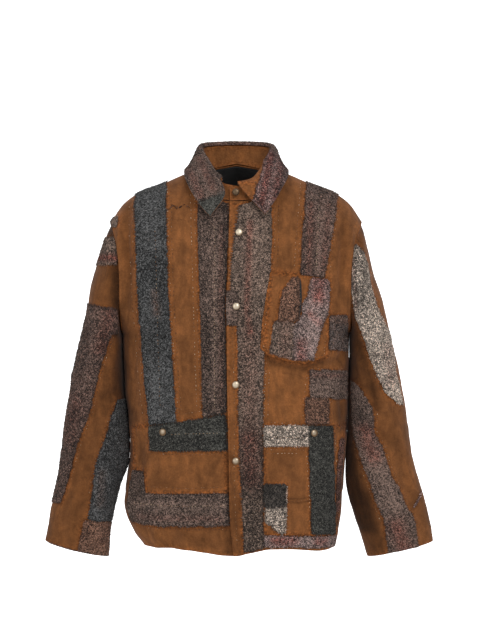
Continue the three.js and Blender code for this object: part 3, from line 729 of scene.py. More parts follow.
def new_object(name, points, faces, material):
    """A mesh object at the origin from points in millimetres."""
    mesh = bpy.data.meshes.new(name)
    mesh.vertices.add(len(points))
    mesh.vertices.foreach_set("co", (np.asarray(points) * MM).astype(np.float32).ravel())
    sizes = np.concatenate([np.full(len(f), f.shape[1]) for f in faces])
    loops = np.concatenate([f.ravel() for f in faces]).astype(np.int32)
    mesh.loops.add(len(loops))
    mesh.loops.foreach_set("vertex_index", loops)
    mesh.polygons.add(len(sizes))
    starts = np.concatenate([[0], np.cumsum(sizes)[:-1]]).astype(np.int32)
    mesh.polygons.foreach_set("loop_start", starts)
    mesh.update(calc_edges=True)
    mesh.validate()
    mesh.materials.append(material)
    item = bpy.data.objects.new(name, mesh)
    bpy.context.scene.collection.objects.link(item)
    return item


def give(item, name, values):
    """A number at each point of a piece, for its material to read."""
    attribute = item.data.attributes.new(name, "FLOAT", "POINT")
    attribute.data.foreach_set("value", np.asarray(values, np.float32))


def shade_smooth(item, angle=50):
    bpy.ops.object.select_all(action="DESELECT")
    item.select_set(True)
    bpy.context.view_layer.objects.active = item
    bpy.ops.object.shade_smooth_by_angle(angle=math.radians(angle))
    item.select_set(False)


class Cut:
    """The part of a sheet that one piece of cloth covers, as a lattice of its points."""

    def __init__(self, sheet, step=1, outline=None, limits=(-200, 200)):
        self.sheet = sheet
        rows = np.arange(0, sheet.rows, step)
        columns = np.arange(0, sheet.columns, step)
        self.row, self.column = np.meshgrid(rows.astype(float), columns.astype(float), indexing="ij")
        count = len(columns)
        j, i = np.meshgrid(
            np.arange(len(rows) - 1), np.arange(count if sheet.wrap else count - 1), indexing="ij"
        )
        after = (i + 1) % count
        self.cells = np.stack(
            [j * count + i, j * count + after, (j + 1) * count + after, (j + 1) * count + i], axis=-1
        )
        middle = sheet.pick(sheet.points, (j + 0.5) * step, (i + 0.5) * step)
        keep = np.ones(j.shape, bool)
        if outline is not None:
            keep = inside(middle[..., 0], middle[..., 2], outline)
            keep &= (middle[..., 1] > limits[0]) & (middle[..., 1] < limits[1])
        self.cells = self.cells[self.joined(keep)]
        self.row, self.column = self.row.ravel(), self.column.ravel()
        edges = np.concatenate([self.cells[:, [k, (k + 1) % 4]] for k in range(4)])
        total = len(self.row)
        forward = edges[:, 0] * total + edges[:, 1]
        backward = edges[:, 1] * total + edges[:, 0]
        self.rim = edges[~np.isin(forward, backward)]
        self.step = step
        if outline is not None:
            self.snap(outline)

    def joined(self, keep):
        """Fills in cells that would touch only at a corner."""
        for _ in range(4):
            a, b = keep[:-1, :-1], keep[:-1, 1:]
            c, d = keep[1:, :-1], keep[1:, 1:]
            crossed = (a & d & ~b & ~c) | (b & c & ~a & ~d)
            if not crossed.any():
                break
            r, k = np.nonzero(crossed)
            keep[r, k] = keep[r + 1, k] = keep[r, k + 1] = keep[r + 1, k + 1] = True
        return keep

    def snap(self, outline):
        """Moves the rim's points onto the outline."""
        rim = np.unique(self.rim)
        sheet = self.sheet
        own = (self.row[rim] > 0) & (self.row[rim] < sheet.rows - 1)
        if not sheet.wrap:
            own &= (self.column[rim] > 0) & (self.column[rim] < sheet.columns - 1)
        rim = rim[own]
        here = sheet.pick(sheet.points, self.row[rim], self.column[rim])
        shape = np.array([*outline, outline[0]], float)
        best = np.full(len(rim), np.inf)
        goal = here[:, [0, 2]].copy()
        for a, b in zip(shape[:-1], shape[1:]):
            d = b - a
            t = np.clip(((here[:, [0, 2]] - a) @ d) / max(d @ d, 1e-9), 0, 1)
            spot = a + t[:, None] * d
            far = np.linalg.norm(spot - here[:, [0, 2]], axis=1)
            goal = np.where((far < best)[:, None], spot, goal)
            best = np.minimum(best, far)
        near = best < 1.3 * FINE_STEP * self.step
        rim, goal = rim[near], goal[near]
        row, column = sheet.slide(
            self.row[rim], self.column[rim], goal[:, 0], goal[:, 1], most=0.45
        )
        self.row[rim] = np.clip(row, self.row[rim] - 0.8, self.row[rim] + 0.8)
        self.column[rim] = np.clip(column, self.column[rim] - 0.8, self.column[rim] + 0.8)

    def wall(self, name, inner, outer, material, relief=None):
        """A closed wall of cloth between two distances from the sheet's face."""
        used, cells = np.unique(self.cells, return_inverse=True)
        cells = cells.reshape(-1, 4)
        rim = np.searchsorted(used, self.rim)
        row, column = self.row[used], self.column[used]
        count = len(used)
        extra = np.zeros(count) if relief is None else relief(row, column)
        top = self.sheet.at(row, column, outer + extra)
        bottom = self.sheet.at(row, column, np.full(count, float(inner)))
        a, b = rim[:, 0], rim[:, 1]
        faces = [cells, cells[:, ::-1] + count, np.stack([b, a, a + count, b + count], axis=1)]
        item = new_object(name, np.concatenate([top, bottom]), faces, material)
        self.map_cloth(item, np.tile(column, 2), np.tile(row, 2))
        self.at_row, self.at_column = row, column
        self.flat_area = self.face_area(top, cells)
        return item

    def face_area(self, points, cells):
        a, b, c, d = (points[cells[:, k]] for k in range(4))
        first = np.linalg.norm(np.cross(b - a, c - a), axis=1)
        return float((first + np.linalg.norm(np.cross(c - a, d - a), axis=1)).sum() / 2)

    def map_cloth(self, item, column, row):
        """A UV map in metres along the cloth's own columns and rows."""
        layer = item.data.uv_layers.new(name="cloth")
        loops = np.zeros(len(item.data.loops), np.int32)
        item.data.loops.foreach_get("vertex_index", loops)
        across = column[loops].reshape(-1, 4)
        if self.sheet.wrap:
            split = np.ptp(across, axis=1) > self.sheet.columns / 2
            behind = split[:, None] & (across < self.sheet.columns / 2)
            across = across + behind * self.sheet.columns
        uv = np.stack([across.ravel(), row[loops]], axis=1) * FINE_STEP * MM
        layer.data.foreach_set("uv", uv.astype(np.float32).ravel())


# ---- Materials ----


class Maths:
    """A number in a material that changes over a surface. Sums of such numbers add Math nodes."""

    def __init__(self, shader, socket):
        self.shader = shader
        self.socket = socket

    def worked(self, operation, first, second):
        settings = {"operation": operation}
        return self.shader.node("ShaderNodeMath", settings, {0: first, 1: second})["Value"]

    def __add__(self, other):
        return self.worked("ADD", self, other)

    __radd__ = __add__

    def __sub__(self, other):
        return self.worked("SUBTRACT", self, other)

    def __rsub__(self, other):
        return self.worked("SUBTRACT", other, self)

    def __mul__(self, other):
        return self.worked("MULTIPLY", self, other)

    __rmul__ = __mul__

    def size(self):
        return self.worked("ABSOLUTE", self, 0.0)

    def held(self):
        """The same number kept between 0 and 1."""
        settings = {"clamp": True}
        values = {"Value": self}
        return self.shader.node("ShaderNodeMapRange", settings, values)["Result"]


class Outputs:
    """A node's outputs by name, as numbers that can be used in sums."""

    def __init__(self, shader, node):
        self.shader = shader
        self.node = node

    def __getitem__(self, name):
        return Maths(self.shader, self.node.outputs[name])


class Shader:
    """A material built from one Principled surface."""

    def __init__(self, name):
        self.material = bpy.data.materials.new(name)
        self.material.use_nodes = True
        self.tree = self.material.node_tree
        self.tree.nodes.clear()
        self.surface = self.tree.nodes.new("ShaderNodeBsdfPrincipled")
        output = self.tree.nodes.new("ShaderNodeOutputMaterial")
        self.tree.links.new(self.surface.outputs[0], output.inputs["Surface"])

    def put(self, socket, value):
        if isinstance(value, Maths):
            self.tree.links.new(value.socket, socket)
        elif isinstance(value, tuple) and len(value) == 3 and socket.type == "RGBA":
            socket.default_value = (*value, 1.0)
        else:
            socket.default_value = value

    def node(self, kind, settings=None, values=None):
        made = self.tree.nodes.new(kind)
        for name, value in (settings or {}).items():
            if name == "stops":
                self.set_stops(made.color_ramp, value)
            else:
                setattr(made, name, value)
        for name, value in (values or {}).items():
            self.put(made.inputs[name], value)
        return Outputs(self, made)

    def set_stops(self, ramp, stops):
        while len(ramp.elements) < len(stops):
            ramp.elements.new(1.0)
        for element, (place, colour) in zip(ramp.elements, stops):
            element.position = place
            element.color = (*colour, 1.0)

    def set(self, **values):
        for name, value in values.items():
            self.put(self.surface.inputs[name.replace("_", " ")], value)

    def mix(self, share, first, second):
        """One colour changed into another by a share."""
        settings = {"data_type": "RGBA", "clamp_factor": True}
        return self.picked("ShaderNodeMix", settings, {0: share, 6: first, 7: second}, 2)

    def tinted(self, colour, amount):
        """A colour made lighter or darker by a changing amount."""
        settings = {"operation": "SCALE"}
        return self.picked("ShaderNodeVectorMath", settings, {0: colour, 3: amount}, 0)

    def picked(self, kind, settings, values, output):
        made = self.node(kind, settings, values)
        return Maths(self, made.node.outputs[output])

    def places(self):
        return self.node("ShaderNodeTexCoord")["Object"]

    def cloth_map(self, across=1.0, up=1.0):
        """The cloth's own map, stretched along its columns and rows."""
        uv = self.node("ShaderNodeUVMap", {"uv_map": "cloth"})["UV"]
        return self.node("ShaderNodeMapping", None, {"Vector": uv, "Scale": (across, up, 1.0)})["Vector"]

    def noise(self, at, scale, detail=2.0, distortion=0.0):
        values = {"Vector": at, "Scale": scale, "Detail": detail, "Distortion": distortion}
        return self.node("ShaderNodeTexNoise", None, values)["Fac"]

    def shifted(self, at, scale, by):
        """Places moved a little each way by noise."""
        values = {"Vector": at, "Scale": scale, "Detail": 1.0}
        drift = self.node("ShaderNodeTexNoise", None, values)["Color"]
        settings = {"operation": "MULTIPLY_ADD"}
        values = {0: drift, 1: (by, by, by), 2: at}
        return self.picked("ShaderNodeVectorMath", settings, values, 0)

    def attribute(self, name):
        return self.node("ShaderNodeAttribute", {"attribute_name": name})["Fac"]

    def ramp(self, value, stops):
        return self.node("ShaderNodeValToRGB", {"stops": stops}, {"Fac": value})["Color"]

    def bumped(self, height, distance, strength=1.0, below=None):
        values = {"Height": height, "Distance": distance, "Strength": strength}
        if below is not None:
            values["Normal"] = below
        return self.node("ShaderNodeBump", None, values)["Normal"]


def linear(red, green, blue):
    """A colour given as it looks, from 0 to 255, as light."""
    made = []
    for value in (red, green, blue):
        v = value / 255
        made.append(v / 12.92 if v <= 0.04045 else ((v + 0.055) / 1.055) ** 2.4)
    return tuple(made)


def deeper(colour, share):
    """A colour with this share of its light, which may be over one."""
    return tuple(v * share for v in colour)


def shifted_colour(colour, shares):
    return tuple(v * share for v, share in zip(colour, shares))


BROWN = linear(122, 77, 43)
RUST = (1.16, 0.98, 0.8)  # how the brown is redder where it is puckered
BRUSHED = (1.38, 1.34, 1.25)  # and lighter where its nap is brushed up
SHADED_METAL = (0.24, 0.17, 0.12)  # how a snap's metal is tinted where it is darkest: painted shade and each snap's own darkening
# Each stitched tweed's colour as a whole, and the colour it is dyed in places.
TWEEDS = {
    "charcoal_boro": ((69, 69, 69), (98, 76, 66)),
    "mauve_boro": ((90, 74, 66), (102, 66, 56)),
    "taupe_boro": ((99, 83, 73), (108, 66, 56)),
    "cream_boro": ((160, 146, 134), (136, 106, 94)),
    "teal_boro": ((59, 58, 54), (70, 60, 54)),
    "lilac_boro": ((118, 101, 96), (122, 76, 68)),
    "maroon_boro": ((100, 73, 59), (116, 70, 56)),
    "black_cloth": ((56, 51, 47), (70, 58, 50)),
}
# How dark to how light the threads are against their tweed's colour, from tone 0 to 1.
THREAD_TONES = ((0.0, 0.1), (0.3, 0.36), (0.55, 0.85), (0.78, 2.0), (1.0, 4.2))


def brown_suede(settings):
    """Matt brushed cotton with a short nap: brushed lighter and darker, puckered along its seams, where it
    is redder with painted shade and highlight specks for the puckers; painted highlights on raised edges,
    painted shade on the sleeves and in creases.
    """
    made = Shader("brown cloth")
    colour = tuple(settings.brown)
    at = made.places()
    brushed = made.cloth_map(1.0, 0.3)
    clouds = made.noise(at, 11.0, 4.0, 0.5)
    strokes = made.noise(brushed, 70.0, 4.0, 0.7)
    nap = made.noise(at, 380.0, 2.0)
    specks = made.noise(at, 230.0, 3.0, 0.6)
    stains = made.noise(at, 48.0, 4.0, 1.2)
    mottle = made.noise(at, 62.0, 3.0, 0.5)
    seam = made.attribute("seam")
    wear = made.attribute("wear")
    shade = made.ramp(clouds * 0.5 + strokes * 0.5, [
        (0.32, deeper(colour, 0.62)), (0.5, colour), (0.68, shifted_colour(colour, BRUSHED)),
    ])
    rusty = shifted_colour(colour, RUST)
    # Near seams and hems the brown is redder, with painted shade and highlight specks standing for its
    # puckers.
    puckered = made.ramp(specks, [
        (0.34, deeper(colour, 0.3)), (0.45, deeper(rusty, 0.85)), (0.55, deeper(rusty, 1.2)),
        (0.68, deeper(rusty, 1.9)),
    ])
    shade = made.mix(seam * 0.85, shade, puckered)
    # Painted highlight where the brown's hems and the edges beside sewn pieces stand raised.
    shade = made.mix(wear * 0.4, shade, deeper(colour, 1.5))
    dirt = (stains - 0.6).held() * 3.0
    shade = made.mix(dirt.held(), shade, deeper(colour, 0.42))
    # The brown is darkened here by its painted shade: on the sleeves, beside the body and along the shaded
    # lines.
    shade = made.tinted(shade, (nap * 0.7 + 0.65) * (mottle * 0.9 + 0.55) * (1.0 - made.attribute("deep")))
    cords = made.noise(made.cloth_map(1.0, 0.2), 160.0, 2.0)
    puckers = made.noise(at, 120.0, 3.0, 0.8)
    soft = made.bumped(puckers * (seam * 2.2 + 0.4), 0.0026, 0.9)
    soft = made.bumped(cords + nap * 0.6, 0.0005, 0.5, soft)
    made.set(Base_Color=shade, Roughness=0.93, Normal=soft)
    made.set(Sheen_Weight=0.06, Sheen_Roughness=0.5, Specular_IOR_Level=0.12)
    return made.material


def tweed(slot, settings, threads):
    """Stitched tweed: dark and light threads in short curly flecks, with an accent colour."""
    colour, accent = (linear(*chosen) for chosen in TWEEDS[slot])
    made = Shader(slot.replace("_", " ") + (" threads" if threads else ""))
    at = made.places()
    own = made.attribute("shade")
    pale = made.attribute("pale")
    if threads:
        tone = own
    else:
        curls = made.noise(at, 450.0, 1.0, 1.6)
        light_curl = (1.0 - (curls - 0.54).size() * 13.0).held()
        dark_curl = (1.0 - (curls - 0.42).size() * 13.0).held()
        bent = made.shifted(at, 500.0, 0.0019)
        fleck = made.node("ShaderNodeTexVoronoi", None, {"Vector": bent, "Scale": 520.0})
        cell = made.node("ShaderNodeSeparateColor", None, {"Color": fleck["Color"]})["Red"]
        curled = (light_curl * 0.74 - dark_curl * 0.5) * settings.fleck
        tone = cell * 0.9 + 0.03 + curled + (own - 0.5) * 0.22
    broad = made.noise(at, 34.0, 3.0, 0.5)
    # pale lightens or darkens the tweed; along the lap's edge it is painted shadow.
    tone = tone + (broad - 0.5) * 0.35 + pale * 0.45
    stops = [(place, deeper(colour, share)) for place, share in THREAD_TONES]
    dyed = [(place, deeper(accent, share)) for place, share in THREAD_TONES]
    shade = made.ramp(tone, stops)
    patchy = made.noise(at, 150.0, 2.0)
    share = made.attribute("accent") * (patchy * 2.0) + (patchy - 0.62).held() * 1.6
    shade = made.mix(share.held(), shade, made.ramp(tone, dyed))
    rows = made.noise(made.cloth_map(1.0, 0.25), 260.0, 2.0)
    height = made.noise(at, 330.0, 3.0) * 0.8 + rows * 0.4
    if not threads:
        height = height + light_curl * 0.5
    made.set(Base_Color=shade, Roughness=0.96, Normal=made.bumped(height, 0.0013, 0.9))
    made.set(Sheen_Weight=0.08, Sheen_Roughness=0.6, Specular_IOR_Level=0.1)
    return made.material


def lining_cloth(settings):
    """Thin black cloth with a little gloss, softly creased, with painted shade in its creases and painted
    light on their ridges.
    """
    made = Shader("black lining")
    weave = made.noise(made.cloth_map(1.0, 1.0), 700.0, 2.0)
    creases = made.noise(made.places(), 16.0, 3.0, 1.0)
    colour = tuple(settings.lining)
    # Painted shade and light: the colour follows the same creases as the bump.
    shade = made.mix(creases, deeper(colour, 0.7), deeper(colour, 1.5))
    normal = made.bumped(creases, 0.006, 0.6)
    normal = made.bumped(weave, 0.0003, 0.4, normal)
    made.set(Base_Color=shade, Roughness=0.62, Normal=normal)
    made.set(Sheen_Weight=0.2, Specular_IOR_Level=0.35)
    return made.material


def thread_cloth():
    """Stitching thread, from dark brown to pale by each stitch's own shade."""
    made = Shader("stitching thread")
    own = made.attribute("shade")
    shade = made.ramp(own, [
        (0.0, linear(66, 34, 18)), (0.5, linear(150, 104, 66)), (1.0, linear(226, 200, 166)),
    ])
    twist = made.noise(made.places(), 900.0, 1.0)
    made.set(Base_Color=shade, Roughness=0.85, Normal=made.bumped(twist, 0.0003, 0.5))
    return made.material


def snap_metal(name, colour):
    """Worn metal: duller and darker in spots, with painted shade towards its rim and lower side, smooth on
    the crown.
    """
    made = Shader(name)
    spots = made.noise(made.places(), 260.0, 4.0)
    haze = made.noise(made.places(), 900.0, 3.0)
    shade = made.mix((spots - 0.45).held() * 1.4, tuple(colour), deeper(tuple(colour), 0.45))
    # Painted shade towards the rim and the lower side, and each snap's own darkening.
    shade = made.mix(made.attribute("rim"), shade, shifted_colour(colour, SHADED_METAL))
    made.set(Base_Color=shade, Metallic=0.75, Roughness=haze * 0.25 + 0.24)
    made.set(Normal=made.bumped(haze, 0.0002, 0.4))
    return made.material


# ---- Patches, pockets and bands ----

# Each outline is (x, z) seen from the front. layer counts the patches or pockets underneath, and
# limits the depths y it is cut between. streaks are (what changes, line, width, amount).
FRONT_LIMITS = (-200, -1)


def sewn(name, slot, outline, layer=0, **marks):
    return {"name": name, "slot": slot, "outline": outline, "layer": layer, **marks}


LEFT_FRONT_PIECES = [
    sewn("placket", "brown_cloth", [
        (-30, -59), (7, -64), (-3, -114), (-10, -186), (-10, -243), (1, -284), (3, -337), (5, -491),
        (14, -720), (-30, -720),
    ]),
    sewn("strip_beside_placket", "taupe_boro", [
        (8, -64), (30, -57), (54, -38), (63, -62), (64, -131), (59, -234), (49, -337), (46, -491),
        (48, -694), (15, -700), (6, -491), (4, -337), (2, -284), (-9, -243), (-9, -186), (-2, -114),
    ], pale=-0.03, streaks=[
        ("accent", [(25, -95), (19, -250), (24, -300)], 6, 0.5),
        ("accent", [(25, -300), (25, -480)], 16, 0.2), ("accent", [(26, -500), (26, -566)], 20, 0.55),
        ("pale", [(34, -80), (44, -210)], 20, 0.35), ("pale", [(24, -330), (24, -480)], 24, 0.1),
        ("pale", [(24, -490), (26, -560)], 26, -0.4), ("pale", [(30, -580), (30, -690)], 24, -0.38),
    ]),
    sewn("patch_over_placket", "mauve_boro", [
        (-30, -222), (-6, -222), (2, -230), (1, -283), (-30, -283),
    ], layer=1, streaks=[("pale", [(-14, -250), (-14, -276)], 9, 0.5)]),
    sewn("strip_left_shoulder", "mauve_boro", [
        (135, 0), (192, -20), (175, -119), (161, -195), (119, -190), (123, -120),
    ], pale=0.1, dyed=0.12, streaks=[
        ("pale", [(160, -80), (150, -190)], 4, 0.5), ("pale", [(160, -10), (158, -50)], 20, -0.25),
        ("accent", [(138, -60), (132, -190)], 6, 0.45), ("accent", [(172, -60), (160, -180)], 5, 0.3),
    ]),
    sewn("chest_pocket", "brown_cloth", [
        (62, -186), (171, -199), (169, -293), (167, -342), (125, -355), (89, -349), (58, -340),
        (43, -326), (47, -274),
    ], layer=1),
    sewn("pocket_patch_maroon", "maroon_boro", [
        (103, -198), (114, -198), (112, -275), (76, -276), (80, -250), (84, -224),
    ], layer=2, pale=0.12, streaks=[("pale", [(96, -210), (98, -262)], 10, 0.15)]),
    sewn("pocket_patch_taupe", "taupe_boro", [
        (68, -280), (107, -280), (103, -300), (101.5, -345), (62, -335),
    ], layer=2, pale=0.14, streaks=[("accent", [(90, -280), (88, -340)], 12, 0.2)]),
    sewn("pocket_patch_lilac", "lilac_boro", [
        (137, -199), (169, -202), (168, -240), (165, -264), (155, -286), (149, -308), (139, -346),
        (104, -347), (105, -300), (108, -284), (119, -270), (121, -247), (131, -232),
    ], layer=2, pale=0.05, streaks=[
        ("accent", [(152, -203), (150, -232)], 14, 0.75), ("accent", [(118, -318), (118, -344)], 10, 0.7),
        ("pale", [(146, -240), (138, -320)], 12, 0.4), ("accent", [(132, -262), (152, -280)], 6, 0.5),
    ]),
    sewn("patch_left_armhole", "charcoal_boro", [
        (173, -268), (206, -268), (208, -330), (172, -328),
    ], pale=0.12, dyed=0.55, streaks=[("accent", [(175, -270), (205, -276)], 8, 0.4)]),
    sewn("patch_left_band", "mauve_boro", [
        (136, -368), (207, -371), (207, -421), (136, -416),
    ], pale=0.1, streaks=[
        ("pale", [(140, -400), (200, -402)], 12, 0.35), ("accent", [(140, -376), (200, -378)], 5, 0.4),
    ]),
    sewn("patch_left_maroon", "maroon_boro", [
        (128, -419), (170, -421), (170, -466), (128, -466),
    ], pale=0.02),
    sewn("pocket_left", "brown_cloth", [
        (50, -468), (204, -473), (196, -575), (192, -640), (187, -676), (50, -668),
    ]),
    sewn("pocket_left_cream", "cream_boro", [
        (51, -469), (131, -471), (131, -506), (51, -505),
    ], layer=1, streaks=[
        ("pale", [(60, -488), (124, -490)], 5, -0.2),
    ]),
    sewn("pocket_left_teal", "teal_boro", [(133, -471), (177, -473), (183, -673), (139, -669)], layer=1),
    sewn("pocket_left_black", "black_cloth", [(51, -577), (90, -578), (90, -619), (51, -618)], layer=1),
    sewn("pocket_left_grey", "cream_boro", [
        (53, -620), (91, -621), (86, -671), (69, -656), (53, -643),
    ], layer=1, pale=-0.14),
    sewn("pocket_left_side_strip", "mauve_boro", [
        (192, -498), (200, -499), (194, -566), (190, -632), (184, -632), (186, -566),
    ], layer=1, dyed=0.6),
    sewn("hem_strip_left", "lilac_boro", [
        (51, -671), (187, -680), (184, -697), (51, -690),
    ], pale=0.08, streaks=[
        ("accent", [(70, -680), (105, -683)], 9, 0.9), ("accent", [(150, -684), (162, -686)], 8, 0.7),
        ("pale", [(120, -684), (140, -685)], 9, 0.3),
    ]),
]
RIGHT_FRONT_PIECES = [
    sewn("strip_right_shoulder", "charcoal_boro", [
        (-190, -20), (-134, 0), (-126, -238), (-117, -381), (-112, -461), (-160, -467), (-169, -382),
        (-180, -238),
    ], streaks=[
        ("pale", [(-162, -60), (-160, -130)], 14, 0.25), ("pale", [(-164, -215), (-156, -250)], 12, 0.35),
        ("pale", [(-146, -380), (-140, -440)], 15, 0.3),
        ("pale", [(-150, -160), (-150, -200)], 20, -0.25),
        ("pale", [(-152, -180), (-146, -295)], 36, -0.12),
        ("pale", [(-146, -370), (-140, -450)], 26, 0.12),
        ("accent", [(-150, -225), (-146, -262)], 7, 0.5),
    ]),
    sewn("strip_right_middle", "mauve_boro", [
        (-72, -16), (-50, -42), (-20, -60), (-16, -114), (-18, -186), (-22, -243), (-21, -284),
        (-20, -392), (-20, -443), (-60, -452), (-66, -238),
    ], pale=-0.06, streaks=[
        ("pale", [(-42, -90), (-40, -300), (-40, -440)], 4, 0.35),
        ("pale", [(-40, -150), (-40, -230)], 12, 0.15),
        ("accent", [(-26, -100), (-28, -200), (-27, -430)], 5, 0.3),
        # The streak along x -19 to -21 is painted shadow cast by the left front's lap.
        ("pale", [(-58, -250), (-54, -440)], 7, -0.25), ("pale", [(-19, -60), (-21, -450)], 5, -0.5),
        ("pale", [(-44, -300), (-42, -440)], 26, -0.12),
    ]),
    sewn("patch_right_shoulder_end", "taupe_boro", [
        (-250, -82), (-223, -82), (-223, -98), (-250, -98),
    ], pale=0.25),
    sewn("pocket_right", "brown_cloth", [
        (-194, -475), (-161, -471), (-60, -456), (-20, -447), (-17, -592), (-167, -596), (-171, -555),
        (-192, -555),
    ]),
    sewn("pocket_right_band", "teal_boro", [
        (-160, -472), (-60, -457), (-21, -448), (-18, -513), (-158, -515),
    ], layer=1, streaks=[
        ("pale", [(-110, -484), (-30, -480)], 5, 0.35), ("pale", [(-150, -500), (-30, -500)], 8, -0.15),
        # Painted shadow cast by the left front's lap.
        ("pale", [(-19, -450), (-17, -512)], 5, -0.5),
    ]),
    sewn("band_right_hem", "mauve_boro", [
        (-194, -558), (-173, -558), (-169, -598), (-17, -594), (-15, -651), (-141, -654), (-196, -650),
        (-205, -626), (-200, -590),
    ], pale=0.06, streaks=[
        ("pale", [(-185, -616), (-20, -614)], 6, 0.35), ("accent", [(-180, -640), (-30, -640)], 7, 0.25),
        ("pale", [(-190, -600), (-190, -570)], 9, -0.2), ("pale", [(-150, -603), (-20, -600)], 5, -0.2),
        # Painted shadow cast by the left front's lap.
        ("pale", [(-17, -594), (-15, -651)], 5, -0.5),
    ]),
]
LEFT_SLEEVE_PIECES = [
    sewn("sleeve_left_cream", "cream_boro", [
        (214, -128), (238, -150), (251, -213), (265, -260), (291, -308), (297, -364), (306, -407),
        (313, -433), (300, -428), (276, -407), (257, -364), (238, -308), (222, -262), (212, -213),
        (208, -160),
    ], streaks=[
        ("pale", [(225, -140), (228, -240)], 18, -0.4), ("accent", [(284, -330), (288, -390)], 12, 0.35),
        ("pale", [(296, -400), (304, -426)], 10, 0.25), ("accent", [(216, -160), (222, -250)], 4, 0.4),
    ]),
    sewn("sleeve_left_mauve", "mauve_boro", [
        (218, -440), (222, -491), (237, -542), (251, -577), (263, -615), (278, -648), (291, -735),
        (345, -735), (334, -663), (330, -643), (316, -624), (304, -592), (289, -570), (280, -542),
        (272, -514), (257, -488), (255, -455), (251, -437), (236, -414), (226, -397), (217, -390),
    ], pale=0.14, streaks=[
        ("accent", [(240, -480), (258, -530)], 14, 0.75), ("pale", [(262, -540), (296, -620)], 14, 0.45),
        ("accent", [(300, -660), (318, -712)], 16, 0.75), ("pale", [(236, -446), (240, -466)], 12, -0.2),
        ("pale", [(300, -630), (310, -660)], 12, 0.2),
    ]),
]
RIGHT_SLEEVE_PIECES = [
    sewn("sleeve_right_band", "taupe_boro", [
        (-290, -123), (-226, -123), (-222, -168), (-290, -168),
    ], limits=(-200, 20), pale=0.1, streaks=[
        ("accent", [(-290, -156), (-222, -160)], 8, 0.85), ("pale", [(-280, -132), (-226, -134)], 8, 0.1),
    ]),
    # pale=-0.18 darkens the whole strip as painted shade, as on the right sleeve's brown.
    sewn("sleeve_right_strip", "mauve_boro", [
        (-330, -238), (-223, -258), (-223, -297), (-234, -299), (-255, -364), (-274, -443), (-300, -512),
        (-316, -575), (-330, -617), (-380, -617), (-380, -300),
    ], limits=(-200, 20), pale=-0.18, dyed=0.2, streaks=[
        ("pale", [(-340, -252), (-226, -272)], 13, 0.45),
        ("accent", [(-236, -262), (-252, -330)], 12, 0.5),
        ("pale", [(-262, -300), (-290, -420)], 10, 0.2),
        ("accent", [(-300, -430), (-312, -500)], 14, 0.35),
        ("pale", [(-310, -380), (-330, -500)], 8, 0.25),
    ]),
    sewn("sleeve_right_charcoal", "charcoal_boro", [
        (-222, -425), (-237, -472), (-249, -510), (-262, -546), (-269, -602), (-277, -648), (-236, -653),
        (-205, -590), (-205, -425),
    ], limits=(-200, -6), streaks=[
        ("pale", [(-225, -440), (-232, -560)], 18, -0.2),
        ("accent", [(-252, -560), (-256, -620)], 8, 0.3),
    ]),
    sewn("sleeve_right_cuff", "maroon_boro", [
        (-302, -740), (-285, -652), (-230, -660), (-225, -740),
    ], pale=0.08, streaks=[("pale", [(-262, -670), (-262, -712)], 12, 0.15)]),
]
COLLAR_LIMITS = (-200, 11)
COLLAR_PIECES = [
    sewn("collar_patch_left", "lilac_boro", [
        (66, 90), (62, 48), (31, -56), (48, -95), (120, -95), (120, 90),
    ], limits=COLLAR_LIMITS, pale=-0.28, dyed=0.3, streaks=[
        ("accent", [(66, 40), (46, -60)], 6, 0.75), ("accent", [(84, 30), (72, -50)], 7, 0.45),
        ("pale", [(76, 20), (60, -70)], 6, 0.1), ("pale", [(92, 20), (80, -40)], 9, -0.35),
    ]),
    sewn("collar_patch_right", "mauve_boro", [
        (-1, 90), (-1, -20), (-17, -38), (-68, -56), (-120, -56), (-120, 90),
    ], limits=COLLAR_LIMITS, pale=-0.02, streaks=[
        ("accent", [(-70, 30), (-44, -30)], 8, 0.5), ("accent", [(-90, 10), (-66, -48)], 8, 0.5),
        ("pale", [(-80, 30), (-50, -34)], 6, 0.25),
    ]),
    sewn("collar_patch_tip", "teal_boro", [
        (-1, -33), (-17, -39), (-68, -57), (-90, -66), (-60, -110), (-1, -110),
    ], limits=COLLAR_LIMITS, pale=0.22, streaks=[("pale", [(-20, -50), (-56, -84)], 20, 0.3)]),
    sewn("collar_patch_back", "mauve_boro", [
        (-130, -20), (130, -20), (130, 110), (-130, 110),
    ], limits=(12, 140), streaks=[
        ("accent", [(-60, 60), (60, 60)], 12, 0.4), ("pale", [(-80, 30), (80, 30)], 8, 0.3),
    ]),
]
ALL_PIECES = [
    ("front_left", LEFT_FRONT_PIECES), ("front_right", RIGHT_FRONT_PIECES),
    ("sleeve_left", LEFT_SLEEVE_PIECES), ("sleeve_right", RIGHT_SLEEVE_PIECES),
    ("collar_fall", COLLAR_PIECES),
]

# Painted shade on the sleeves' brown, which makes it darker than the body's, more so beside the body.
SLEEVE_PAINTED_SHADE = {"sleeve_left": 0.2, "sleeve_right": 0.36}
